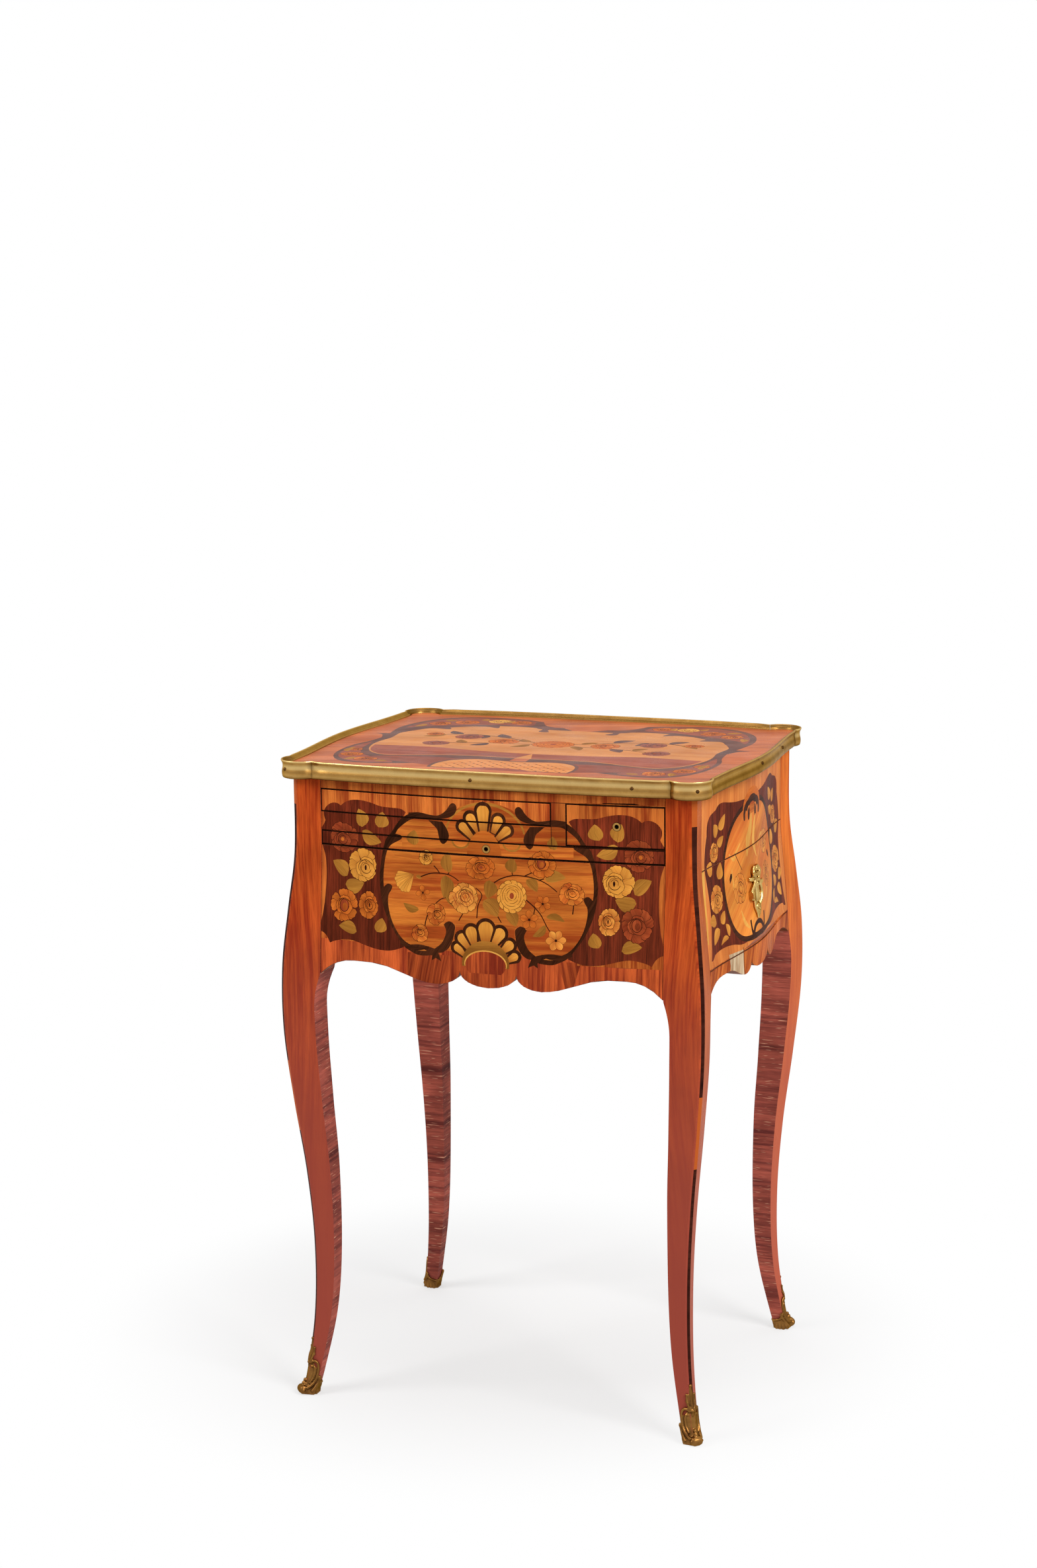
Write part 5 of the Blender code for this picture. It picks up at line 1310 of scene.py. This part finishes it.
def leg_corners(z, grow=0.0, back=0.0):
    """Corners of a leg's section in the quarter where x and y are positive; back grows its inner faces."""
    x, y = HALF_WIDTH + swell(z) + grow, HALF_DEPTH + swell(z) + grow
    in_x, in_y = inner_edge(z, HALF_WIDTH) - back, inner_edge(z, HALF_DEPTH) - back
    side_end = x - SPLAY * (y - cant(z) - in_y)
    front_end = y - SPLAY * (x - cant(z) - in_x)
    ring = ((in_x, in_y), (side_end, in_y), (x, y - cant(z)), (x - cant(z), y), (in_x, front_end))
    return [Vector(p) for p in ring]


# Veneers round a leg: inner face, side face, canted strip, rest of the cant, front face, inner face
# The side faces take the lighter copy of tulipwood: painted light
LEG_WOODS = ("kingwood", "side_leg", "strip", "tulipwood_leg", "tulipwood_leg", "kingwood")
# Painted light: the side faces of two legs are drawn darker or lighter
SIDE_LIGHT_LEVELS = {"front_right": 0.9, "back_right": 1.14}      # brightness of the side faces
STRIP_SHARE = 0.66           # the dark strip covers this share of the cant
# Towards its foot a leg turns darker and pinker: partly its own colour, partly painted shade
FADE_KNOTS = ((0.0, 0.95), (0.12, 0.95), (0.30, 0.80), (0.42, 0.50), (0.54, 0.08), (0.70, 0.0))
foot_fade = smooth_curve(FADE_KNOTS)
LIGHT_STRIPS = ((0.295, 0.378), (0.654, 0.70))      # heights where the canted strip is a lighter wood
LIGHT_STRIP_BURN = 0.9


def add_leg(corner, signs):
    """A leg with a veneer on each of its faces."""
    levels = [LEG_LOW + (CASE_TOP - LEG_LOW) * k / LEG_RINGS for k in range(LEG_RINGS + 1)]
    points = []
    sides = len(LEG_WOODS)
    for z in levels:
        ring = leg_corners(z, VENEER_OUT)
        ring.insert(3, ring[2].lerp(ring[3], STRIP_SHARE))
        points += [(p.x * signs[0], p.y * signs[1], z) for p in ring]
    faces, ends = ring_faces(LEG_RINGS + 1, sides)
    faces += ends
    if signs[0] * signs[1] < 0:
        faces = [f[::-1] for f in faces]
    names = sorted(set(LEG_WOODS))
    leg = new_piece("leg_veneered_" + corner, points, faces, [WOODS[n] for n in names],
        "case", 30.0)
    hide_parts("leg_" + corner)
    mesh = leg.data
    grain, tone = grain_layers(mesh)
    draw = random.Random(corner)
    own = {name: draw.random() for name in names}
    # painted light on the side face of this leg
    side_light_level = SIDE_LIGHT_LEVELS.get(corner, 1.0)
    for polygon in mesh.polygons:
        name = LEG_WOODS[polygon.index % sides if polygon.index < LEG_RINGS * sides else 0]
        polygon.material_index = names.index(name)
        for loop in polygon.loop_indices:
            p = mesh.vertices[mesh.loops[loop].vertex_index].co
            across = abs(p.x) + abs(p.y)
            flat = (across, p.z + own[name]) if name == "kingwood" else (p.z, across + own[name])
            grain.data[loop].uv = flat
            # the fade towards the foot, partly painted shade
            burn = foot_fade(p.z) if name in ("tulipwood_leg", "side_leg") else 0.0
            if name == "strip" and any(low < polygon.center.z < high for low, high in LIGHT_STRIPS):
                burn = LIGHT_STRIP_BURN
            tone.data[loop].color = (side_light_level if name == "side_leg" else 1.0, burn, own[name], 1.0)


for corner, signs in CORNERS.items():
    add_leg(corner, signs)


# Brass rim
# Section of the rim: inward, rise and painted light, below 0 painted shade and above 0 painted highlight
RIM_KNOTS = ((0.0062, 0.0, -0.9), (0.0050, 0.0, -0.9), (0.0040, 0.0005, -0.8), (0.0034, 0.0018, -0.3),
    (0.0030, 0.0036, 0.1), (0.0029, 0.0054, 0.0), (0.0031, 0.0072, -0.35), (0.0036, 0.0090, -0.2),
    (0.0041, 0.0108, 0.35), (0.0043, 0.0126, 0.5), (0.0041, 0.0144, 0.25), (0.0034, 0.0160, -0.1),
    (0.0024, 0.0173, -0.1), (0.0018, 0.0181, 0.2), (0.0016, 0.0188, 0.6), (0.0019, 0.0193, 0.6),
    (0.0027, 0.0195, 0.3), (0.0036, 0.0194, -0.2), (0.0044, 0.0190, -0.5), (0.0050, 0.0182, -0.7),
    (0.0058, 0.0174, -0.7), (0.0066, 0.0168, -0.6), (0.0070, 0.0160, -0.5), (0.0086, 0.0156, -0.4),
    (0.0088, 0.0152, -0.4), (0.0088, 0.0131, 0.0), (0.0062, 0.0131, 0.0))
RIM_SIDE_LIGHT = {"left": 0.45, "right": -0.3}      # painted light: the left length is brighter, and the right one darker
LOBE_IN = 0.0020             # the round of a corner is drawn in by this much at its middle
LOBE_FLAT = 1.4              # and evenly over more of it where this is larger
NOTCH_IN = 0.0016            # two castings meet in a notch, and a length swells out just before it
NOTCH_WIDE = 0.0042
SHOULDER_OUT = 0.0020
SHOULDER_AT = 0.0130
SHOULDER_WIDE = 0.0060
RIM_LIFT = 0.0003            # the casting stands this far off the case
RIM_SQUASH = 0.984           # its section has this share of the height in the knots
RIM_JOINT = 0.00012          # half the gap between two castings


def rim_inward(name, share, inward, end=1.0):
    """How far a point of the section lies inside the outer line, at a share of the way along a casting."""
    drawn = NOTCH_IN * math.exp(-(end / NOTCH_WIDE) ** 2)
    if "_" in name:
        drawn += LOBE_IN * min(4 * share * (1 - share) * LOBE_FLAT, 1.0)
    elif name in ("front", "back"):
        drawn -= SHOULDER_OUT * math.exp(-((end - SHOULDER_AT) / SHOULDER_WIDE) ** 2)
    return inward + drawn * max(1 - inward / RIM_DEPTH, 0.0)


def add_rim(number):
    """One cast length or corner of the rim."""
    path = mitred(number)
    name = RIM_PATHS[number][0]
    first, last = path[0][0], path[-1][0]
    path[0] = (first + (path[1][0] - first).normalized() * RIM_JOINT, path[0][1])
    path[-1] = (last + (path[-2][0] - last).normalized() * RIM_JOINT, path[-1][1])
    count = len(RIM_KNOTS)
    points = []
    for k, (p, n) in enumerate(path):
        share = k / (len(path) - 1)
        end = min((p - first).length, (p - last).length)
        points += [(*(p - n * rim_inward(name, share, inward, end)),
                CASE_TOP + RIM_LIFT + rise * RIM_SQUASH) for inward, rise, _ in RIM_KNOTS]
    faces, ends = ring_faces(len(path), count)
    faces = [f[::-1] for f in faces] + ends
    rim = new_piece("rim_cast_" + name, points, faces, [BRASS], "case", 40.0)
    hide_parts("rim_" + name)
    # Painted light along the section: dark bands are painted shade, bright bands painted highlights
    wear = rim.data.color_attributes.new("wear", "FLOAT_COLOR", "POINT")
    for i, mark in enumerate(wear.data):
        shade = RIM_KNOTS[i % count][2] + RIM_SIDE_LIGHT.get(name, 0.0)
        mark.color = (max(-shade, 0.0), max(shade, 0.0), 0.0, 1.0)


for number in range(len(RIM_PATHS)):
    add_rim(number)


# Cast brass, built up from rounded shapes that are fused into one skin
def tube(path, radii, sides=8):
    """A closed round bar along a line of points, with a radius at each."""
    path = [Vector(p) for p in path]
    points = []
    across = (path[1] - path[0]).orthogonal().normalized()
    for i, p in enumerate(path):
        ahead = (path[min(i + 1, len(path) - 1)] - path[max(i - 1, 0)]).normalized()
        across = (across - ahead * across.dot(ahead)).normalized()
        beside = ahead.cross(across)
        for k in range(sides):
            a = 2 * math.pi * k / sides
            points.append(p + (across * math.cos(a) + beside * math.sin(a)) * radii[i])
    faces, ends = ring_faces(len(path), sides)
    return points, faces + ends


def ball(centre, axes):
    """A closed round lump with three half axes."""
    centre = Vector(centre)
    rows, sides = 7, 10
    points = [centre + axes[2], centre - axes[2]]
    for i in range(1, rows):
        high = math.pi * i / rows
        for k in range(sides):
            a = 2 * math.pi * k / sides
            flat = axes[0] * math.cos(a) + axes[1] * math.sin(a)
            points.append(centre + axes[2] * math.cos(high) + flat * math.sin(high))
    faces = [(0, 2 + k, 2 + (k + 1) % sides) for k in range(sides)]
    for i in range(rows - 2):
        for k in range(sides):
            n = (k + 1) % sides
            a, b = 2 + i * sides, 2 + (i + 1) * sides
            faces.append((a + k, b + k, b + n, a + n))
    last = 2 + (rows - 2) * sides
    faces += [(1, last + (k + 1) % sides, last + k) for k in range(sides)]
    return points, faces


def knob(centre, size, high=0.0):
    """A round lump, in millimetres, stretched upward if high is given."""
    return ball(centre, [Vector(v) * MM for v in ((size, 0, 0), (0, size, 0), (0, 0, high or size))])


def sheet(rows):
    """A closed plate from a grid of (lower, upper) pairs of points."""
    wide = len(rows[0])
    points = [pair[side] for side in (0, 1) for row in rows for pair in row]
    shift = len(rows) * wide
    faces = []
    for i in range(len(rows) - 1):
        for k in range(wide - 1):
            quad = (i * wide + k, i * wide + k + 1, (i + 1) * wide + k + 1, (i + 1) * wide + k)
            faces += [quad[::-1], tuple(n + shift for n in quad)]
    border = list(range(wide)) + [i * wide + wide - 1 for i in range(1, len(rows))]
    border += [(len(rows) - 1) * wide + k for k in range(wide - 2, -1, -1)]
    border += [i * wide for i in range(len(rows) - 2, 0, -1)]
    for a, b in zip(border, border[1:] + border[:1]):
        faces.append((a, b, b + shift, a + shift))
    return points, faces


def cast(name, shapes, node, material, body, grain):
    """Overlapping closed shapes fused into one piece, kept inside the box of the node it stands for."""
    points, faces = [], []
    for shape_points, shape_faces in shapes:
        base = len(points)
        points += [tuple(p) for p in shape_points]
        faces += [tuple(i + base for i in f) for f in shape_faces]
    rough = bpy.data.meshes.new(name + "_rough")
    rough.from_pydata(points, [], faces)
    block = bpy.data.objects.new(name + "_rough", rough)
    bpy.context.collection.objects.link(block)
    fuse = block.modifiers.new("fuse", "REMESH")
    fuse.mode = "VOXEL"
    fuse.voxel_size = grain
    soften = block.modifiers.new("soften", "SMOOTH")
    soften.factor = 0.5
    soften.iterations = 2
    mesh = bpy.data.meshes.new_from_object(block.evaluated_get(bpy.context.evaluated_depsgraph_get()))
    bpy.data.objects.remove(block)
    low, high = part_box(node)
    for vertex in mesh.vertices:
        vertex.co = [min(max(c, a), b) for c, a, b in zip(vertex.co, low, high)]
    mesh.materials.clear()
    mesh.materials.append(material)
    mesh.shade_smooth()
    mesh.name = name
    piece = bpy.data.objects.new(name, mesh)
    bpy.context.collection.objects.link(piece)
    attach(piece, body)
    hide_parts(node)


def spread(radii, count):
    """Radii in millimetres at a few places of a line, as radii in metres at a count of places."""
    knots = [(i / (len(radii) - 1), r) for i, r in enumerate(radii)]
    radius_at = smooth_curve(knots)
    return [radius_at(i / (count - 1)) * MM for i in range(count)]


# Sabots, in millimetres: round the leg from its outer corner, up, and out from its faces
SABOT_SCROLLS = ((((2.5, 34.5, 1.0), (6, 37, 1.4), (9.5, 35.6, 1.4), (11.8, 31, 1.2), (12.4, 24, 1.1),
        (11.6, 17, 1.4), (9, 11, 2.0), (5, 7.5, 3.0)), (1.3, 1.7, 1.7, 1.5, 1.4, 1.5, 1.7, 1.6)),
    (((4, 31, 1.2), (7.2, 30.6, 1.2), (8.6, 26, 1.1), (8, 18.5, 1.3), (5.6, 12.5, 2.0)),
        (0.8, 1.0, 0.9, 0.9, 0.8)),
    (((1.4, 34, 1.2), (3.6, 41, 1.2), (4.6, 47, 1.0), (4.4, 51, 1.0)), (1.4, 1.5, 1.2, 1.1)),
    (((14.2, 19, 0.8), (14.6, 15, 0.8), (13.6, 9, 1.2), (11.5, 4, 2.0)), (1.9, 1.5, 1.5, 1.6)),
    (((15.4, 15.5, 0.6), (18, 13.2, 1.0), (22, 11.6, 1.0), (27, 10.6, 0.8)), (1.7, 1.4, 1.3, 1.3)))
SABOT_KNOBS = ((4.4, 51.5, 1.0, 1.5), (7, 37, 1.8, 2.0), (14.4, 19, 1.0, 2.2), (15.6, 15.6, 0.8, 2.0),
    (5.4, 44.5, 0.8, 1.2))
SABOT_FLUTES = (17.4, 21.2, 25.0)
SABOT_SPINE = (((0, 30, 1.0), (0, 40, 1.2), (0, 50, 1.0), (0, 58, 0.9), (0, 62, 0.8)),
    (1.2, 1.3, 1.1, 1.2, 1.0))
SABOT_BUTTONS = ((61, 1.1, 1.8), (35, 1.6, 1.9), (15.5, 2.4, 2.0), (12, 3.0, 2.2))
SABOT_CUP = ((0.4, 1.4), (5, 2.0), (9, 1.6), (12, 0.8))
# Plate behind the scrolls and leaf above it: foot, rise, half width along the rise, columns, how proud
SABOT_PLATES = ((6, 29, lambda share: 11.5 - 6.5 * max(share - 0.75, 0.0) / 0.25, 5, 0.9),
    (32, 28, lambda share: 5.0 - 3.4 * share, 3, 0.8))
PLATE_SINK = -0.8
FLUTE_MIDDLE = 4.6
FLUTE_RADIUS = 2.3
FLUTE_HALF = 7.0
SABOT_GRAIN = 0.0006
TOE_RADIUS = 5.2
TOE_ROLL = ((-6.2, 2.6), (-5.2, 4.4), (-3, 5.0), (0, TOE_RADIUS), (3, 5.0), (5.2, 4.4), (6.2, 2.6))
TOE_HALF = 6.0
TOE_KNOB = 1.7
TOE_AT = (2.0, 0.4)          # height and distance out of the place where the toe is set
TOE_CLEAR = 0.3              # the toe stands this far off the floor
CUP_BACK = 0.7               # share of the cup's growth at the inner faces
CORNER_ROUND = 4.0           # outward directions turn gradually over this width at the corner
CORNER_WAY = Vector((0.7071, 0.7071))


def on_foot(signs, around, z, out):
    """World point on the surface round a foot."""
    inner, side_end, side_top, front_top, front_end = leg_corners(z * MM)
    half = [side_top, side_end, inner] if around >= 0 else [front_top, front_end, inner]
    line = [(side_top + front_top) / 2] + half
    left = abs(around) * MM
    for a, b in zip(line, line[1:]):
        ahead = (b - a).normalized()
        normal = Vector((-ahead.y, ahead.x)) if around >= 0 else Vector((ahead.y, -ahead.x))
        if left <= (b - a).length or b is line[-1]:
            at = a + ahead * min(left, (b - a).length)
            break
        left -= (b - a).length
    near = math.exp(-(abs(around) / CORNER_ROUND) ** 2)
    normal = (normal + CORNER_WAY * near).normalized()
    at = at + normal * out * MM
    return Vector((at.x * signs[0], at.y * signs[1], z * MM))


def add_sabot(corner, signs):
    """A cast shoe: a cup with scrolled edges, a leaf up the corner, a rolled toe and flutes at the back."""
    def line(places, mirrored):
        return spline([on_foot(signs, a * mirrored, z, out) for a, z, out in places], steps=4)

    shapes = []
    for mirrored in (-1, 1):
        for places, radii in SABOT_SCROLLS:
            path = line(places, mirrored)
            shapes.append(tube(path, spread(radii, len(path))))
        for a, z, out, size in SABOT_KNOBS:
            shapes.append(knob(on_foot(signs, a * mirrored, z, out), size))
        for a in SABOT_FLUTES:
            shapes.append(knob(on_foot(signs, a * mirrored, FLUTE_MIDDLE, 0.0), FLUTE_RADIUS, FLUTE_HALF))
    path = line(SABOT_SPINE[0], 1)
    shapes.append(tube(path, spread(SABOT_SPINE[1], len(path))))
    for low, rise, half_at, columns, proud in SABOT_PLATES:
        plate = []
        for row in range(9):
            share = row / 8
            z = low + rise * share
            arounds = [half_at(share) * (k / columns - 1) for k in range(2 * columns + 1)]
            plate.append([(on_foot(signs, a, z, PLATE_SINK), on_foot(signs, a, z, proud)) for a in arounds])
        shapes.append(sheet(plate))
    cup = []
    for z, out in SABOT_CUP:
        ring = leg_corners(z * MM, out * MM, out * MM * CUP_BACK)
        cup += [(p.x * signs[0], p.y * signs[1], z * MM) for p in ring]
    faces, ends = ring_faces(len(SABOT_CUP), len(cup) // len(SABOT_CUP))
    shapes.append((cup, faces + ends))
    outward = Vector((signs[0], signs[1], 0.0)).normalized()
    across = Vector((-outward.y, outward.x, 0.0))
    toe = on_foot(signs, 0, *TOE_AT)
    toe.z = (TOE_RADIUS + TOE_CLEAR) * MM
    shapes.append(tube([toe + across * e * MM for e, _ in TOE_ROLL], [r * MM for _, r in TOE_ROLL], 14))
    for z, out, size in SABOT_BUTTONS:
        shapes.append(knob(on_foot(signs, 0, z, out), size))
    for end in (-1, 1):
        shapes.append(knob(toe + across * end * TOE_HALF * MM + outward * MM, TOE_KNOB))
    cast("sabot_cast_" + corner, shapes, "sabot_" + corner, BRONZE, "case", SABOT_GRAIN)


for corner, signs in CORNERS.items():
    add_sabot(corner, signs)

# Escutcheon, in millimetres about the keyhole: along the side, up, out, and three half axes
ESCUTCHEON_SCROLLS = ((((-6, 28, 2.0), (-12, 23, 2.6), (-8, 17, 2.8), (-12, 10, 2.4), (-21, 5, 2.6),
        (-27, 0, 2.4), (-22, -4, 2.0), (-14, -7, 1.6), (-12, -14, 1.8), (-7, -20, 1.8), (-3, -27.5, 1.2)),
        (1.8, 2.5, 2.4, 2.2, 2.6, 3.0, 2.0, 1.4, 2.0, 2.2, 1.2)),
    (((3, 28, 2.0), (9, 22, 2.6), (4, 15, 2.6), (10, 9, 2.0), (13, 1, 2.2), (11, -8, 2.2),
        (6, -14, 1.6), (1, -21, 1.8), (-3, -27.5, 1.2)), (1.8, 2.6, 2.4, 1.8, 2.0, 2.4, 1.6, 2.0, 1.2)),
    (((-8, 16, 1.4), (-19, 16.5, 1.8), (-28, 18.5, 1.2)), (2.2, 2.8, 1.2)),
    (((9, 7, 1.2), (17, 7.6, 1.8), (23, 9.5, 1.2)), (1.6, 2.4, 1.0)))
ESCUTCHEON_LUMPS = ((-1, 26, 2.8, 6.0, 3.4, 3.6), (-2, 19.5, 2.6, 6.0, 2.8, 3.6),
    (-2, 13.5, 2.4, 6.0, 2.2, 3.4), (-24, 0.5, 2.6, 5.0, 3.2, 3.2), (-2, -14.5, 1.8, 7.0, 3.2, 2.6),
    (-3, -21, 1.8, 5.0, 3.0, 2.4))
SLOT_BAR = ((-10, 1.3), (-5, 1.5), (0, 1.6), (5, 1.5), (10, 1.3))      # rise and radius of a bar
SLOT_BAR_AT = 2.9
SLOT_BAR_OUT = 1.6
SLOT_PLATE = ((1.2, 4, 7, 10), (-13, -6.5, 0, 6.5, 13), 1.0)     # places along and up, and how proud
BRIDGES = (10.5, -11.0)      # heights of the plates above and below the slot
BRIDGE_PLACES = (-4, 0, 4)
BRIDGE_HALF = 1.6
BRIDGE_PROUD = 1.2
ESCUTCHEON_GRAIN = 0.0005


def add_escutcheon():
    """A cast scroll plate round a narrow slot."""
    def at(u, rise, out):
        z = (SIDE_KEY_Z + rise) * MM
        return Vector(place("right", u * MM, face("right", u * MM, z) + VENEER_OUT + out * MM, z))

    def plate(places, rises, proud):
        return sheet([[(at(u, rise, 0.0), at(u, rise, proud)) for u in places] for rise in rises])

    shapes = []
    for u, rise, out, wide, high, deep in ESCUTCHEON_LUMPS:
        axes = [Vector(v) * MM for v in ((0, wide, 0), (0, 0, high), (deep, 0, 0))]
        shapes.append(ball(at(u, rise, out), axes))
    for places, radii in ESCUTCHEON_SCROLLS:
        path = spline([at(*p) for p in places], steps=4)
        shapes.append(tube(path, spread(radii, len(path))))
    for end in (-1, 1):
        path = [at(end * SLOT_BAR_AT, rise, SLOT_BAR_OUT) for rise, _ in SLOT_BAR]
        shapes.append(tube(path, [r * MM for _, r in SLOT_BAR]))
        places, rises, proud = SLOT_PLATE
        shapes.append(plate([u * end for u in places], rises, proud))
    for rise in BRIDGES:
        shapes.append(plate(BRIDGE_PLACES, (rise - BRIDGE_HALF, rise + BRIDGE_HALF), BRIDGE_PROUD))
    cast("escutcheon_cast", shapes, "side_escutcheon", POLISHED, "side_drawer", ESCUTCHEON_GRAIN)


add_escutcheon()


# Pins that hold the rim
PIN_RADIUS = 0.0020
PIN_PROUD = 0.0013
PIN_HEIGHT = 0.0098
PIN_INWARD = 0.0037
LOBE_PINS = (0.5,)           # shares of the way along a corner, and along a length
LENGTH_PINS = (0.475, 0.8)


def add_pin(number, share):
    """A small round pin head in the hollow of the rim."""
    name, path = RIM_PATHS[number]
    middle, out = path[round(share * (len(path) - 1))]
    out = Vector((out.x, out.y, 0.0))
    across = Vector((-out.y, out.x, 0.0))
    centre = Vector((middle.x, middle.y, CASE_TOP + PIN_HEIGHT)) - out * rim_inward(name, share, PIN_INWARD)
    axes = [across * PIN_RADIUS, Vector((0, 0, PIN_RADIUS)), out * PIN_PROUD]
    points, faces = ball(centre, axes)
    new_piece("rim_pin_%d_%d" % (number, round(share * 100)), points, faces, [PIN],
        "case", 60.0)


for number, (name, _) in enumerate(RIM_PATHS):
    for share in LOBE_PINS if "_" in name else LENGTH_PINS:
        add_pin(number, share)


# Tooled gold border of the leather: how far in each line lies, and its width
GILT_LINES = ((0.008, 0.0026), (0.0125, 0.0007))
GILT_FACES = (-0.0002, 0.00008)


def add_border():
    """Two thin gilt lines pressed into the leather."""
    low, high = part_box("writing_slide_leather")
    for number, (inward, wide) in enumerate(GILT_LINES):
        points, faces = [], []
        for lift in GILT_FACES:
            for step_in in (inward, inward + wide):
                left, right = low[0] + step_in, high[0] - step_in
                near, far = low[1] + step_in, high[1] - step_in
                ring = ((left, near), (right, near), (right, far), (left, far))
                points += [(x, y, high[2] + lift) for x, y in ring]
        for k in range(4):
            n = (k + 1) % 4
            faces += [(8 + k, 8 + n, 12 + n, 12 + k), (k, 4 + k, 4 + n, n), (k, n, 8 + n, 8 + k),
                (4 + n, 4 + k, 12 + k, 12 + n)]
        new_piece("leather_gilding_%d" % number, points, faces, [GILDING], "writing_slide")


add_border()

SIDE_NODES = ("side_drawer_front", "right_upper_rail", "right_lower_rail")
WHOLE_PANELS = ("front_panel", "back_panel", "left_panel")
FACING = 0.5                 # a face looks outward, or inward, if its normal does by more than this

# Plain materials of the solids that stay: oak inside, brown edges, and a near-black face where a veneer
# stops short, which is painted shade in the gaps
for name, node in NODES.items():
    slot = next(s["material_slot"] for s in frame["record"]["subparts"] if s["node"] == name)
    material = {"gilt_brass": BRASS, "lock_steel": STEEL, "leather": LEATHER}.get(slot, OAK)
    node.data.materials.clear()
    node.data.materials.append(material)
    if slot in ("marquetry", "tulipwood") and name != "top_board":
        plain = EDGE if name in WHOLE_PANELS else GAP_SHADE
        node.data.materials.append(EDGE)
        node.data.materials.append(SIDE_EDGE if name in SIDE_NODES else plain)
        low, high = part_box(name)
        axis = 1 if high[0] - low[0] > high[1] - low[1] else 0
        side = 1 if low[axis] + high[axis] > 0 else -1
        for polygon in node.data.polygons:
            out = polygon.normal[axis] * side
            polygon.material_index = 0 if out < -FACING else 2 if out > FACING else 1


# Floor, light and camera
FLOOR_RADIUS = 14.0
FLOOR_COLOUR = (0.93, 0.93, 0.93, 1.0)
# Painted shadow: round the table the floor glows grey, and it fades to white further off
SHADE_CENTRE = (-0.08, 0.08, 0.0)
SHADE_GREY = (0.85, 0.85, 0.85, 1.0)
SHADE_NEAR = 0.20            # the floor is grey up to here, and white from SHADE_FAR on
SHADE_FAR = 0.52
SHADE_SHARE = 0.65           # how much of the plain grey lies over the lit floor
WHITE = (1.0, 1.0, 1.0, 1.0)
WORLD_LEVEL = 0.32
LAMP_TARGET = (0.0, 0.0, 0.4)
LAMPS = (("right", (2.3, -1.25, 2.3), 1.4, 80.0), ("left", (-2.1, -1.6, 2.3), 1.4, 54.0),
    ("above", (0.0, 0.45, 3.2), 2.0, 38.0))


def add_floor():
    """A pale floor that keeps the shadow near the table under a painted shadow of grey glow, and turns to
    plain white further off.
    """
    bpy.ops.mesh.primitive_circle_add(vertices=96, radius=FLOOR_RADIUS, fill_type="NGON")
    floor = bpy.context.object
    floor.name = "floor"
    shader = Shader("floor")
    set_surface(shader, Base_Color=FLOOR_COLOUR, Roughness=0.9, Specular_IOR_Level=0.0)
    away = shader.node("VectorMath", {0: shader.place_in(), 1: SHADE_CENTRE},
        operation="DISTANCE").outputs["Value"]
    far = shader.node("MapRange", {"Value": away, "From Min": SHADE_NEAR, "From Max": SHADE_FAR},
        interpolation_type="SMOOTHSTEP")
    rays = shader.node("LightPath")
    shown = shader.math("MAXIMUM", rays.outputs["Is Camera Ray"], rays.outputs["Is Glossy Ray"])
    # painted shadow: grey glow near the table, white further off
    paper = shader.mix(far.outputs["Result"], SHADE_GREY, WHITE)
    white = shader.node("Emission", {"Color": paper, "Strength": 1.0})
    share = shader.span(far.outputs["Result"], SHADE_SHARE, 1.0)
    both_ways = shader.node("MixShader", {0: shader.math("MULTIPLY", share, shown)})
    shader.join(both_ways.inputs[1], shader.surface.outputs["BSDF"])
    shader.join(both_ways.inputs[2], white.outputs["Emission"])
    shader.join(shader.tree.nodes["Material Output"].inputs["Surface"], both_ways.outputs["Shader"])
    floor.data.materials.append(shader.material)


def add_world():
    """Even white surroundings, full white only where they are seen."""
    world = bpy.data.worlds.new("studio")
    bpy.context.scene.world = world
    world.use_nodes = True
    tree = world.node_tree
    background = tree.nodes["Background"]
    rays = tree.nodes.new("ShaderNodeLightPath")
    seen = rays.outputs["Is Camera Ray"]
    for ray in ("Is Transmission Ray", "Is Glossy Ray"):
        either = tree.nodes.new("ShaderNodeMath")
        either.operation = "MAXIMUM"
        tree.links.new(seen, either.inputs[0])
        tree.links.new(rays.outputs[ray], either.inputs[1])
        seen = either.outputs[0]
    level = tree.nodes.new("ShaderNodeMapRange")
    level.inputs["To Min"].default_value = WORLD_LEVEL
    level.inputs["To Max"].default_value = 1.0
    tree.links.new(seen, level.inputs["Value"])
    tree.links.new(level.outputs["Result"], background.inputs["Strength"])
    background.inputs["Color"].default_value = WHITE


def add_light(name, place_at, size, power):
    """A soft square lamp aimed at the table."""
    data = bpy.data.lights.new(name, "AREA")
    data.shape = "RECTANGLE"
    data.size = data.size_y = size
    data.energy = power
    lamp = bpy.data.objects.new(name, data)
    lamp.location = place_at
    lamp.rotation_euler = (Vector(LAMP_TARGET) - Vector(place_at)).to_track_quat("-Z", "Y").to_euler()
    bpy.context.collection.objects.link(lamp)


CAMERA_PLACE = (1.0634, -2.9649, 1.2158)
CAMERA_YAW = math.radians(20.32)
CAMERA_PITCH = math.radians(10.105)
CAMERA_ROLL = 0.01
CAMERA_LENS = 67.87
CAMERA_SENSOR = 36.0


def add_camera():
    """The camera of the photograph."""
    data = bpy.data.cameras.new("camera")
    data.sensor_width = CAMERA_SENSOR
    data.lens = CAMERA_LENS
    camera = bpy.data.objects.new("camera", data)
    turn = Matrix.Rotation(CAMERA_YAW, 4, "Z") @ Matrix.Rotation(math.pi / 2 - CAMERA_PITCH, 4, "X")
    camera.matrix_world = Matrix.Translation(CAMERA_PLACE) @ turn @ Matrix.Rotation(-CAMERA_ROLL, 4, "Z")
    bpy.context.collection.objects.link(camera)
    bpy.context.scene.camera = camera


add_floor()
add_world()
for lamp in LAMPS:
    add_light(*lamp)
add_camera()
bpy.context.scene.view_settings.view_transform = "Standard"
